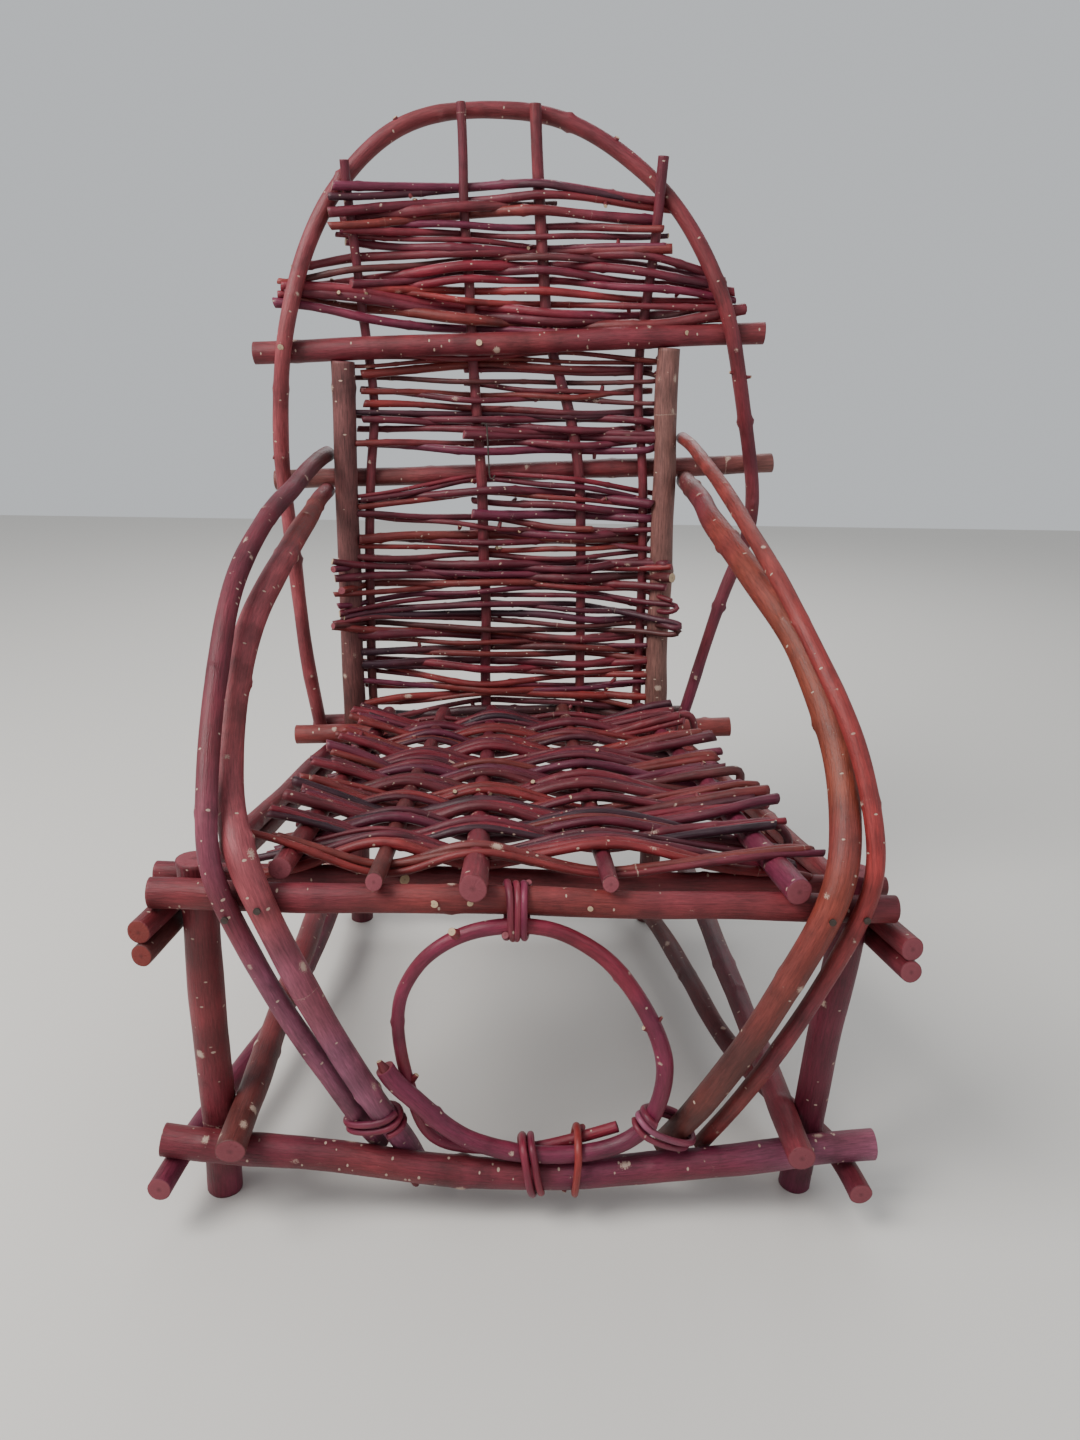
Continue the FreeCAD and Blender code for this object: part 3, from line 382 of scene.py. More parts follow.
# Joins the skins into one mesh, with the bark's colour, scars and sawn ends as attributes and a map in mm.
def makePiece(name, skins, material, nodes=()):
    counts = np.cumsum([0] + [len(s["points"]) for s in skins])
    points = np.vstack([s["points"] for s in skins]) * mm
    points[:, 2] = np.maximum(points[:, 2], 0)      # feet are sawn level with the floor
    quads = np.vstack([s["quads"] + n for s, n in zip(skins, counts)])
    fans = np.vstack([s["fans"] + n for s, n in zip(skins, counts)])
    corners = np.concatenate([quads.ravel(), fans.ravel()])
    starts = np.concatenate([np.arange(len(quads)) * 4, len(quads) * 4 + np.arange(len(fans)) * 3])
    mesh = bpy.data.meshes.new(name)
    mesh.vertices.add(len(points))
    mesh.vertices.foreach_set("co", points.ravel())
    mesh.loops.add(len(corners))
    mesh.loops.foreach_set("vertex_index", corners)
    mesh.polygons.add(len(starts))
    mesh.polygons.foreach_set("loop_start", starts)
    mesh.update(calc_edges=True)
    mesh.validate()
    mesh.polygons.foreach_set("use_smooth", np.ones(len(starts), bool))
    mapped = np.vstack([s["quadMap"] for s in skins] + [s["fanMap"] for s in skins])
    mesh.uv_layers.new(name="skin").data.foreach_set("uv", mapped.ravel())
    bark = np.vstack([s["bark"] for s in skins])
    bark = np.hstack([np.clip(bark, 0, 1), np.ones((len(bark), 1))])
    mesh.attributes.new("bark", "FLOAT_COLOR", "POINT").data.foreach_set("color", bark.ravel())
    for mark in ("scar", "sawn"):
        values = np.concatenate([s[mark] for s in skins])
        mesh.attributes.new(mark, "FLOAT", "POINT").data.foreach_set("value", values)
    mesh.materials.append(material)
    piece = bpy.data.objects.new(name, mesh)
    bpy.context.scene.collection.objects.link(piece)
    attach(piece, "root")
    if nodes:
        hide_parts(*nodes)
    return piece


# Each bark: strength of its streaks, share of cells with a pore and its size in a cell, a cell's mm round and
# along the rod, how dark its patches get, roughness, depth of its grooves, and half the share of nicks.
barkLooks = {
    "frameBark": {
        "fibre": 0.36, "dots": 0.50, "dotSize": 0.15, "cell": (7.4, 4.2), "patch": 0.5, "rough": 0.46,
        "deep": 0.7, "nicks": 0.06,
    },
    "scarredBark": {
        "fibre": 0.36, "dots": 0.8, "dotSize": 0.17, "cell": (7.0, 4.6), "patch": 0.5, "rough": 0.46,
        "deep": 0.8, "nicks": 0.36,
    },
    "postBark": {
        "fibre": 0.50, "dots": 0.50, "dotSize": 0.14, "cell": (9.0, 4.0), "patch": 0.35, "rough": 0.55,
        "deep": 0.9, "nicks": 0.04,
    },
    "ringBark": {
        "fibre": 0.28, "dots": 0.42, "dotSize": 0.16, "cell": (4.8, 5.0), "patch": 0.4, "rough": 0.38,
        "deep": 0.5, "nicks": 0.03,
    },
    "weaveBark": {
        "fibre": 0.30, "dots": 0.42, "dotSize": 0.16, "cell": (3.4, 4.6), "patch": 0.50, "rough": 0.42,
        "deep": 0.5, "nicks": 0.04,
    },
    "tieBark": {
        "fibre": 0.26, "dots": 0.20, "dotSize": 0.15, "cell": (3.8, 5.0), "patch": 0.30, "rough": 0.38,
        "deep": 0.40, "nicks": 0.02,
    },
}

# Noises on the unrolled bark: how often they change in a mm round and along the rod, detail and roughness.
# The patches are in space, so often in a metre.
grain = {
    "streaks": (1.1, 0.09, 5.0, 0.62),
    "threads": (3.4, 0.30, 3.0, 0.6),
    "speckle": (1.6, 1.6, 4.0, 0.7),
    "patches": (55.0, 4.0, 0.6),
    "flakes": (0.085, 0.062),
}

# What all barks share: how much of the pale colour scars, nicks, pores and specks take, how far the patches
# go towards umber, and the relief that each gives.
barkFinish = {
    "scarMix": 0.75, "nickMix": 0.75, "poreMix": 0.8, "speckMix": 0.35, "patchMix": 0.72,
    "threadDepth": 0.25, "poreHeight": 0.5, "scarHeight": 0.25, "bump": (0.75, 0.0007),
    "specular": 0.32, "coat": (0.05, 0.35),
}


# A new material, with its nodes and its shader.
def newMaterial(name):
    material = bpy.data.materials.new(name)
    material.use_nodes = True
    tree = material.node_tree
    return material, tree, tree.nodes["Principled BSDF"]


# Bark: the piece's own colour, streaked along the rod by stretched noise, darkened in soft patches, with
# pale pores and nicks where a cell pattern is near its cell's middle, and pale scars at the knots. Sawn ends
# keep their own colour.
def barkMaterial(name):
    look = barkLooks[name]
    material, tree, shader = newMaterial(name)

    def add(kind, links=(), **values):
        node = tree.nodes.new(kind)
        for key, value in values.items():
            if key.startswith("in_"):
                socket = key[3:]
                node.inputs[int(socket) if socket.isdigit() else socket].default_value = value
            else:
                setattr(node, key, value)
        for socket, source in links:
            tree.links.new(source, node.inputs[socket])
        return node

    def stretched(across, down):
        node = add("ShaderNodeMapping", [(0, skin.outputs["UV"])])
        node.inputs["Scale"].default_value = (across, down, 1)
        return node.outputs[0]

    def noise(vector, detail, rough, scale=1.0):
        links = [(0, vector)]
        node = add("ShaderNodeTexNoise", links, in_Scale=scale, in_Detail=detail, in_Roughness=rough)
        return node.outputs["Fac"]

    def cellsOf(across, down):
        node = add("ShaderNodeTexVoronoi", [(0, stretched(across, down))], in_Scale=1.0)
        dice = add("ShaderNodeSeparateColor", [(0, node.outputs["Color"])])
        return node.outputs["Distance"], dice.outputs

    def between(value, low, high, start=0.0, stop=1.0):
        return add("ShaderNodeMapRange", [(0, value)], in_1=low, in_2=high, in_3=start, in_4=stop).outputs[0]

    def plug(node, values):
        for socket, value in values:
            if isinstance(value, (int, float)):
                node.inputs[socket].default_value = value
            elif isinstance(value, tuple):
                node.inputs[socket].default_value = (*value, 1)
            else:
                tree.links.new(value, node.inputs[socket])
        return node

    def plus(first, second, operation="ADD"):
        return plug(add("ShaderNodeMath", operation=operation), ((0, first), (1, second))).outputs[0]

    def times(first, second):
        return plus(first, second, "MULTIPLY")

    def mixed(factor, first, second, how="MIX"):
        node = add("ShaderNodeMix", data_type="RGBA", blend_type=how, clamp_factor=True)
        return plug(node, ((0, factor), (6, first), (7, second))).outputs[2]

    skin = add("ShaderNodeUVMap", uv_map="skin")
    place = add("ShaderNodeTexCoord")
    bark = add("ShaderNodeAttribute", attribute_name="bark").outputs["Color"]
    scar = add("ShaderNodeAttribute", attribute_name="scar").outputs["Fac"]
    sawn = add("ShaderNodeAttribute", attribute_name="sawn").outputs["Fac"]
    streaks = noise(stretched(*grain["streaks"][:2]), *grain["streaks"][2:])
    threads = noise(stretched(*grain["threads"][:2]), *grain["threads"][2:])
    patches = noise(place.outputs["Object"], *grain["patches"][1:], scale=grain["patches"][0])
    speckle = noise(stretched(*grain["speckle"][:2]), *grain["speckle"][2:])
    middle, dice = cellsOf(1 / look["cell"][0], 1 / look["cell"][1])

    # pores: pale flecks in some of the cells, their edges ragged by the speckle noise
    size = between(dice[0], 0, 1, look["dotSize"] * 0.7, look["dotSize"])
    ragged = between(speckle, 0.3, 0.7, -0.02, 0.02)
    nearness = plus(size, plus(middle, ragged), "SUBTRACT")
    pores = between(nearness, -0.01, 0.02)
    pores = times(pores, between(dice[1], 1 - look["dots"], 1.01 - look["dots"]))

    # nicks: larger pale patches where the outer bark is rubbed off
    middle, dice = cellsOf(*grain["flakes"])
    nicks = plus(middle, times(speckle, 0.46))
    nicks = between(nicks, 0.40, 0.33)
    nicks = times(nicks, between(dice[0], 1 - look["nicks"] * 2, 1.02 - look["nicks"] * 2))

    whole = plus(1.0, sawn, "SUBTRACT")
    light = between(streaks, 0.3, 0.72, 1 - look["fibre"], 1 + look["fibre"])
    fine = between(threads, 0.3, 0.7, 0.82, 1.18)
    light = times(light, fine)
    grey = add("ShaderNodeCombineColor", [(0, light), (1, light), (2, light)])
    colour = mixed(whole, bark, mixed(1.0, bark, grey.outputs[0], "MULTIPLY"))
    dark = times(between(patches, 0.54, 0.70, 0, look["patch"]), whole)
    colour = mixed(dark, colour, mixed(barkFinish["patchMix"], colour, umber, "MULTIPLY"))
    pale = between(speckle, 0.62, 0.74, 0, barkFinish["speckMix"])
    colour = mixed(times(pale, whole), colour, violet)
    marks = plus(scar, times(speckle, 0.7))
    marks = between(marks, 0.80, 0.94)
    for pattern, share in ((marks, "scarMix"), (nicks, "nickMix"), (pores, "poreMix")):
        pattern = times(pattern, barkFinish[share])
        colour = mixed(times(pattern, whole), colour, scarCream)
    tree.links.new(colour, shader.inputs["Base Color"])

    # relief: grooves along the rod, pores that stand up a little
    relief = times(streaks, look["deep"])
    for pattern, depth in ((threads, "threadDepth"), (pores, "poreHeight"), (marks, "scarHeight")):
        relief = plus(relief, times(pattern, barkFinish[depth]))
    strength, distance = barkFinish["bump"]
    bump = add("ShaderNodeBump", [("Height", relief)], in_Strength=strength, in_Distance=distance)
    tree.links.new(bump.outputs[0], shader.inputs["Normal"])
    rough = between(streaks, 0.3, 0.7, look["rough"] - 0.07, look["rough"] + 0.12)
    rough = plus(rough, times(plus(pores, sawn), 0.25))
    tree.links.new(rough, shader.inputs["Roughness"])
    shader.inputs["Specular IOR Level"].default_value = barkFinish["specular"]
    shader.inputs["Coat Weight"].default_value = barkFinish["coat"][0]
    shader.inputs["Coat Roughness"].default_value = barkFinish["coat"][1]
    return material


barks = {name: barkMaterial(name) for name in barkLooks}
print("barks ready")

# Cut side twigs and thorns, on rods and on woven twigs.
stubLook = {"around": 10, "step": 0.7, "crook": 0.03, "knots": 900, "uneven": 0.01, "slant": 0.3,
            "cut": cutCream, "inset": 0}
strayLook = {"length": (0.6, 3), "thick": (2.8, 2.2), "clear": 4}      # clear: points kept free at the ends


# A side twig starts inside its rod, at the point of the rod's line nearest to a place, and stands out the
# given way, so far beyond the rod's radius, with its own thickness from root to tip.
def sideTwig(line, radius, near, towards, length, thick):
    at = np.argmin(np.linalg.norm(line - near, axis=1))
    way = np.array(towards, float) / np.linalg.norm(towards)
    reach = np.array([0, radius + 0.4 * length, radius + length])
    return rodSkin(line[at] + reach[:, None] * way, {**stubLook, "thick": (thick[0], *thick)})


# A short cut twig anywhere on a woven one.
def strayTwig(line, thick):
    near = line[chance.integers(strayLook["clear"], len(line) - strayLook["clear"])]
    towards = chance.normal(size=3) * (0.8, 1, 1)      # rather less along the row
    return sideTwig(line, thick / 2, near, towards, draw(*strayLook["length"]), strayLook["thick"])


# One rod's diameters and barks from start to end, and whatever else differs from a plain rod.
def rod(thick, colours, **look):
    return {"thick": thick, "colours": colours, **look}


# Straight sticks. A twig on one has a place nearby, the way it points, how far it stands out, and its
# diameters, all in mm.
sticks = {
    "front_left_leg": rod((16.6, 16.2, 16.8), (plum, maroon, maroon, wine), knots=60, inset=0),
    "front_right_leg": rod(
        (15.0, 15.6, 15.9), (plum, wine, wine, wine), knots=55, sunny=plum, sun=0.2, inset=0,
    ),
    "left_back_post": rod(
        (15.6, 15.0, 14.8), (wine, umber, umber, clay, clay, clay), sunny=clay, sun=0.5, knots=85,
        bark="postBark", inset=0,
    ),
    "right_back_post": rod(
        (15.4, 15.0, 14.6), (wine, umber, brown, brown, brown), sunny=olive, sun=0.4, knots=80,
        bark="postBark", inset=0,
    ),
    "front_top_rail": rod(
        (13.4, 12.6, 12.2, 12.2), (maroon, maroon, brick, maroon, maroon), knots=95,
        twigs=[
            ((-38, -148, 165), (0, -1, 0.2), 0.5, (4.4, 3.6)),
            ((29, -148, 164), (0, -1, 0.1), 0.5, (3.0, 2.6)),
            ((-22, -148, 164), (0, -1, 0.3), 0.4, (3.2, 2.8)),
        ],
    ),
    "second_front_rail": rod(
        (9.8, 9.4, 9.2), (wine, maroon, maroon), knots=75,
        twigs=[((-54, -125, 163), (0.1, -1, 0.25), 1.2, (6.4, 5.6, 4.6))],
    ),
    "rear_bottom_rail": rod((12, 11.6, 12), (wine, maroon)),
    "left_inner_rail": rod((13.2, 12.6, 12.4), (umber, maroon, wine), knots=50),
    "right_inner_rail": rod((12.9, 12.5, 12.6), (maroon, wine, umber), knots=44),
    "left_side_rail": rod((10.4, 10, 9.8), (maroon, wine), cut=brick),
    "right_side_rail": rod((10.4, 10.0, 9.8), (maroon, brick)),
    "left_under_rail": rod((9.4, 9.2, 9.0), (umber, wine), cut=brick),
    "right_under_rail": rod((9.6, 9.2, 9), (wine, maroon)),
    "seat_back_rail": rod((12.4, 12.2, 12.4), (brick, maroon, brick)),
    "rear_seat_rail": rod((12, 11.6), (maroon, umber)),
    "upper_back_rail": rod(
        (13.6, 13.2, 13.4), (maroon, maroon, maroon), knots=100,
        twigs=[
            ((-27, 130, 385), (0, -1, 0.1), 0.7, (4.6, 4.0)),
            ((98, 130, 395), (0.3, -1, 0.3), 0.4, (3.4, 3.0)),
        ],
    ),
    "lower_back_rail": rod((12.4, 12.2, 12.6), (brown, maroon, maroon, brown), knots=75),
    "seat_rod_1": rod((9.8, 8.8, 8.4, 9.4), (maroon, wine)),
    "seat_rod_2": rod((7.2, 8.6, 8.4, 9.4), (umber, maroon), slant=0.2),
    "seat_rod_3": rod((12, 9.4, 8.4, 9.4), (maroon, wine)),
    "seat_rod_4": rod((7.0, 8.4, 8.4, 9.4), (wine, umber), slant=0.2),
    "seat_rod_5": rod((11.4, 9.6, 8.6, 9.4), (plum, wine)),
}

lines = {}


# A stick and its cut side twigs, as one piece in place of the frame's node.
def stickPiece(node, ending, look):
    twigs = [sideTwig(lines[node], look["thick"][1] / 2, *twig) for twig in look.get("twigs", ())]
    bark = barks[look.get("bark", "frameBark")]
    makePiece(node + ending, [rodSkin(lines[node], look)] + twigs, bark, [node])


for node, look in sticks.items():
    lines[node] = evenly(straightLine(node), plainRod["step"])[0]
    stickPiece(node, "_stick", look)
print("straight sticks:", len(sticks))


# Bent rods: the same as the sticks, with the way each one runs and over how many mm its bends are eased.
plainBend = {"towards": (1, 0, 0), "ease": 8, "around": 20}
upward = (0, 0, 1)
forward = (0, -1, 0)
bends = {
    "front_bottom_rail": rod(
        (15.4, 14.4, 14.2, 15.0), (maroon, wine, maroon, plum, plum, violet), towards=(1, 0, -0.1),
        knots=90, around=28, bark="scarredBark",
        twigs=[
            ((-52, -148, 14), (0.3, -0.3, -1), 1.8, (6, 5, 3)),
            ((24, -150, 16), (-0.3, -0.6, -1), 1.6, (4, 3, 2)),
        ],
    ),
    "left_floor_rail": rod((11.2, 11, 10.6), (plum, wine), towards=(0.1, 1, 0)),
    "right_floor_rail": rod((10.6, 11, 10.6), (wine, umber), towards=(-0.1, 1, 0)),
    "back_hoop": rod(
        # The pink on the hoop's left part is painted light from the window on the left, laid over the bark's
        # own colour
        (8.8, 9.3, 9.7, 9.5, 9.3, 8.6, 7.2), (maroon, windowLitRose, windowLitRose, maroon, maroon, maroon, wine, plum),
        ease=14, knots=66, buds=0.24, swell=0.03,
        twigs=[
            ((-145, 130, 388), (-0.2, -1, 0), 0.6, (4.2, 3.8)),
            ((132, 150, 379), (-1, -0.3, 0.2), 2.2, (2.8, 1.8)),
            ((132, 150, 377), (1, -0.3, 0.1), 2.2, (2.8, 1.8)),
            ((-75, 160, 514), (-0.5, -0.4, 0.8), 1.4, (4, 3)),
            ((52, 160, 504), (0.5, -0.5, 0.8), 1.2, (4, 3)),
            ((-151, 140, 321), (-1, -0.3, 0.3), 1.0, (3.6, 3)),
        ],
    ),
    "left_outer_arm": rod(
        (9.6, 9.6, 9.2, 8.8), (umber, wine, wine, maroon, violet, violet), towards=forward, ease=15,
        knots=50, sunny=maroon, around=24,
    ),
    "left_inner_arm": rod(
        # The pink in the middle of the left inner arm is painted light from the window on the left, laid over
        # the bark's own colour
        (9.2, 11, 12.4, 12.8, 11.6, 10.8), (maroon, brick, windowLitRose, windowLitRose, windowLitRose, violet, violet),
        towards=forward, ease=15, knots=64, around=28,
    ),
    "right_inner_arm": rod(
        (11.2, 12.4, 14.2, 14.2, 12.6, 11.4), (umber, maroon, brick, rust, rust, brick, umber, umber),
        towards=forward, ease=15, knots=66, sunny=rust, sun=0.2, around=30,
    ),
    "right_outer_arm": rod(
        (7.6, 8.0, 8.2, 8.0, 7.6), (brick, brick, brick, scarlet, scarlet, maroon, brick), towards=forward,
        ease=15, knots=45, sunny=brick, around=24,
    ),
    "front_ring": rod(
        (8.4, 8.2, 7.6, 7.8, 7.4, 6.8, 6.0, 5.6, 5.2, 5.0),
        (magenta, plum, plum, magenta, crimson, magenta, maroon, magenta, crimson), ease=5, bark="ringBark",
        knots=62, buds=0.2, around=22, swell=0.03, sunny=crimson, sun=0.4,
        twigs=[
            ((-59, -148, 76), (-0.45, -0.2, 1), 10, (5.0, 4.6, 2.4)),
            ((-53, -148, 70), (0.55, -0.2, 0.8), 3.4, (3.6, 2.4)),
            ((60, -148, 104), (-1, -0.3, 0.5), 1.8, (3.4, 2.4)),
            ((60, -148, 107), (0.6, -0.2, 1), 3.0, (2.8, 1.2)),
            ((-27, -148, 153), (-0.5, -0.4, 0.6), 1.6, (4.6, 3.4)),
        ],
    ),
    "back_slat_1": rod((6.2, 6.4, 6.0, 5.6), (umber, maroon, wine), towards=upward),
    "back_slat_2": rod((6.4, 6.8, 6.2, 5.4), (wine, maroon, wine), towards=upward),
    "back_slat_3": rod((6.2, 6.8, 7.0, 7.4), (maroon, wine, wine, maroon), towards=upward),
    "back_slat_4": rod((6.4, 6.2, 6.0, 6.4), (maroon, maroon, wine), towards=upward),
}
for node, look in bends.items():
    look = {**plainBend, **look}
    lines[node] = eased(bentLine(node, look["towards"]), look["ease"])
    stickPiece(node, "_rod", look)
print("bent rods:", len(bends))


# The looks that woven twigs share, and the barks that each takes two of.
twigLook = {"around": 9, "step": 1.9, "crook": 0.65, "knots": 42, "swell": 0.08, "buds": 0.22,
            "slant": 0.35, "uneven": 0.05, "sun": 0.3, "inset": 0}
twigBarks = (maroon, maroon, wine, wine, plum, brick, crimson, crimson, scarlet, soot, umber, plum, brick,
             wine)

# Mm from point to point of a twig's line, how much of its slope in width, depth and height an end keeps,
# points over which a loop is eased, one more than the most cut side twigs, a tip's thickness as a share of
# the butt's, and the shares of twigs with pale ends and with a crimson sunny side.
weaving = {"step": 1.8, "ends": (1, 0.3, 0.6), "loopEase": 2.2, "strays": 3, "taper": (0.7, 0.97),
           "pale": 0.35, "bright": 0.4}


# A woven twig passes its uprights on either side in turn: at each of them it stands off by both radii, and
# a bell curve eases the zigzag between them. Beyond the last ones it goes on for its ends' lengths.
def wovenTwig(stations, sides, ends, thick, weave):
    marks = stations[:, :3] + sides[:, None] * np.array(weave["standOff"]) * (stations[:, 3:4] + thick / 2)
    keep = np.array(weaving["ends"])
    first = marks[0] - (marks[1] - marks[0]) * keep * ends[0] / abs(marks[1, 0] - marks[0, 0])
    last = marks[-1] + (marks[-1] - marks[-2]) * keep * ends[1] / abs(marks[-1, 0] - marks[-2, 0])
    return soften(evenly(np.vstack([first, marks, last]), weaving["step"])[0], weave["ease"])


# The looks of one twig, butt at either end.
def twigOf(thick, shade):
    pick = chance.integers(0, len(twigBarks), 2)
    colours = np.array([twigBarks[pick[0]], twigBarks[pick[0]], twigBarks[pick[1]]]) * shade
    taper = draw(*weaving["taper"])
    ends = (thick, thick * (1 + taper) / 2, thick * taper)
    turned = chance.random() < 0.5
    cut = cutCream if chance.random() < weaving["pale"] else cutPink
    sunny = crimson if chance.random() < weaving["bright"] else maroon
    return {**twigLook, "thick": ends[::-1] if turned else ends, "colours": colours, "cut": cut,
            "sunny": sunny}


# What the rows of the back share: the slats and how much each bows the rows, the radii of what they pass, how
# far off it they stand, times both radii, points that ease the zigzag, a loop's reach in mm, how far a row
# strays, times the pitch, mm over which bow and tilt change, the width where tilt is full, the share of
# short rows, and the chance that a row takes the other side than the one below.
backRows = {
    "slats": {1: 0.72, 2: 0.93, 3: 1, 4: 0.8}, "slatRadius": 3.1, "postRadius": 7.5, "hoopRadius": (4.8, 4.4),
    "standOff": (0, 1.12, 0), "ease": 4.5, "reach": (5, 0, 0), "strayLevel": 0.2, "wave": 60,
    "halfWidth": 90, "short": 0.18, "turn": 0.8,
}

# Each weave of the back: heights of its lowest and highest rows, mm from row to row, how much its outer slats
# gather the rows about a height, the twigs' ends and diameters, how far rows stray, tilt and bow, and the
# share of twigs that turn back. The hoop is woven in below a height, the posts between two heights.
backWeaves = {
    "head_weave": {
        "nodes": ("head_weave_lower", "head_weave_upper"), "levels": (400, 484), "pitch": 4.1,
        "gather": 0.5, "about": 420, "ends": (2, 12), "thick": (3.6, 4.4, 5.2, 6.0, 6.8), "jitter": 1.7,
        "tilt": 1.6, "bow": 1.8, "loops": 0.0, "shade": 1, "hoop": 446,
    },
    "middle_weave": {
        "nodes": ("middle_weave",), "levels": (328, 389), "pitch": 3.5, "gather": 0.8, "about": 364,
        "ends": (4, 12), "thick": (3.4, 4.0, 4.6, 5.4), "jitter": 1.8, "tilt": 1.6, "bow": 1.8,
        "loops": 0.35, "shade": 0.9,
    },
    "lower_weave": {
        "nodes": ("lower_weave_bottom", "lower_weave_middle", "lower_weave_top"), "levels": (150, 307),
        "pitch": 3.65, "gather": 0.95, "about": 240, "ends": (3, 11), "thick": (3.6, 4.4, 5.2, 6.2),
        "jitter": 1.8, "tilt": 2.2, "bow": 2.6, "loops": 0.4, "shade": 0.85, "overPosts": (208, 256),
    },
}


# Uprights that a row of the back passes, from left to right: width, depth, height and radius of each. The
# rows bow: at the outer slats they lie nearer to the weave's middle height than at the inner ones.
def uprightsAt(level, weave):
    gather = weave["gather"]
    found = []
    for number, spread in weave["slats"].items():
        bow = 1 - (1 - gather) * (1 - spread)
        height = weave["about"] + (level - weave["about"]) * bow
        found.append((*passing(lines[f"back_slat_{number}"], 2, height), weave["slatRadius"]))
    low, high = weave.get("overPosts", (0, 0))
    outer = []
    if low < level < high:
        outer = [(lines[f"{side}_back_post"], level, weave["postRadius"]) for side in ("left", "right")]
    if level < weave.get("hoop", 0):
        hoop = lines["back_hoop"]
        peak = np.argmax(hoop[:, 2])
        height = weave["about"] + (level - weave["about"]) * gather
        outer = zip((hoop[:peak], hoop[peak:]), (height, height), weave["hoopRadius"])
    outer = [(*passing(line, 2, height), radius) for line, height, radius in outer]
    return np.array(outer[:1] + found + outer[1:])


# A twig that comes back: its two rows joined round the right edge, the join eased into a loop.
def turnedBack(first, second, reach):
    middle = (first[-1] + second[-1]) / 2 + np.array(reach)
    line = evenly(np.vstack([first, middle, second[::-1]]), weaving["step"])[0]
    return soften(line, weaving["loopEase"])


# Rows become twigs: some pairs of neighbours are one twig that turns back, and many have a cut side twig.
def twigsOf(rows, weave):
    skins, waiting = [], None
    for line, thick in rows:
        if waiting is not None:
            line = turnedBack(waiting, line, weave["reach"])
            waiting = None
        elif chance.random() < weave["loops"]:
            waiting = line
            continue
        skins.append(rodSkin(line, twigOf(thick, weave["shade"])))
        for count in range(chance.integers(0, weaving["strays"])):
            skins.append(strayTwig(line, thick))
    return skins


# A weave's rows sag and slope together, neighbours nearly alike: bow * (1 - 2 * share ** 2) + tilt * share,
# where share is how far out an upright stands, and both wander up the weave.
for name, weave in backWeaves.items():
    weave = {**backRows, **weave}
    low, high = weave["levels"]
    count = round((high - low) / weave["pitch"])
    stray = draw(-weave["strayLevel"], weave["strayLevel"], count) * weave["pitch"]
    levels = np.linspace(low, high, count) + stray
    bows = wander(levels, weave["bow"], weave["wave"])
    tilts = wander(levels, weave["tilt"], weave["wave"])
    rows = []
    turn = 1
    for level, bow, tilt in zip(levels, bows, tilts):
        stations = uprightsAt(level, weave)
        share = np.clip(stations[:, 0] / weave["halfWidth"], -1, 1)
        stations[:, 2] += bow * (1 - 2 * share ** 2) + tilt * share
        stations[:, 2] += draw(-1, 1, len(stations)) * weave["jitter"]
        thick = chance.choice(weave["thick"])
        sides = turn * (-1.0) ** np.arange(len(stations))
        if len(stations) > len(weave["slats"]):
            sides[[0, -1]] = 1 if "hoop" in weave else -1      # behind the hoop, before the posts
        ends = draw(*weave["ends"], 2)
        part = slice(0, len(stations))
        if chance.random() < weave["short"]:
            part = slice(0, len(stations) - 1) if chance.random() < 0.5 else slice(1, len(stations))
        rows.append((wovenTwig(stations[part], sides[part], ends, thick, weave), thick))
        if chance.random() < weave["turn"]:
            turn = -turn
    skins = twigsOf(rows, weave)
    makePiece(name + "_twigs", skins, barks["weaveBark"], weave["nodes"])
    print(name, len(skins), "twigs")

# The seat: a few twigs at a time pass over the same rods, then the next few pass under them. Each span of it
# is named with the depth that it ends at, in mm.
seatWeave = {
    "front": -131, "spans": {"seat_weave_front": -52, "seat_weave_middle": 27, "seat_weave_back": 106},
    "pitch": 3.2, "pitchShare": (0.75, 1.25), "group": (2, 7), "firstGroup": 3, "ends": (6, 20),
    "loops": 0.45, "thick": (3.8, 4.4, 5.0, 5.8), "jitter": 1.1, "shade": 0.72, "rods": 5,
    "rodRadius": 4.3, "standOff": (0, 0, 1.15), "ease": 6, "reach": (5, 0, -2),
}
depth, side, left = seatWeave["front"], 1, seatWeave["firstGroup"]
for node, until in seatWeave["spans"].items():
    rows = []
    while depth < until:
        passed = [passing(lines[f"seat_rod_{n + 1}"], 1, depth) for n in range(seatWeave["rods"])]
        rods = np.array([(*place, seatWeave["rodRadius"]) for place in passed])
        rods[:, 1:3] += draw(-1, 1, (len(rods), 2)) * seatWeave["jitter"]
        thick = chance.choice(seatWeave["thick"])
        sides = side * (-1.0) ** np.arange(len(rods))
        ends = draw(*seatWeave["ends"], 2)
        rows.append((wovenTwig(rods, sides, ends, thick, seatWeave), thick))
        depth += seatWeave["pitch"] * draw(*seatWeave["pitchShare"])
        left -= 1
        if left == 0:
            side, left = -side, chance.integers(*seatWeave["group"])
    skins = twigsOf(rows, seatWeave)
    makePiece(node + "_twigs", skins, barks["weaveBark"], [node])
    print(node, len(skins), "twigs")


# Where lines pass a plane near a point: the passing points, with the radius of the rod.
def passedBy(names, middle, across, near):
    found = []
    for name, radius in names:
        height = (lines[name] - middle) @ across
        for at in np.flatnonzero(height[:-1] * height[1:] <= 0):
            if np.linalg.norm(lines[name][at] - middle) < near:
                found.append((*lines[name][at], radius))
    return np.array(found)


# A strand: radians from point to point, points that ease its turns, how loose it is and how far it strays
# along the rods, both in mm over radians, and its looks.
strand = {
    "step": 0.04, "ease": 5, "loose": (0.3, 5), "stray": (0.5, 6), "thin": 0.85,
    "look": {"around": 12, "step": 1.0, "crook": 0.1, "knots": 60, "buds": 0.1, "sunny": scarlet,
             "slant": 0.3},
}


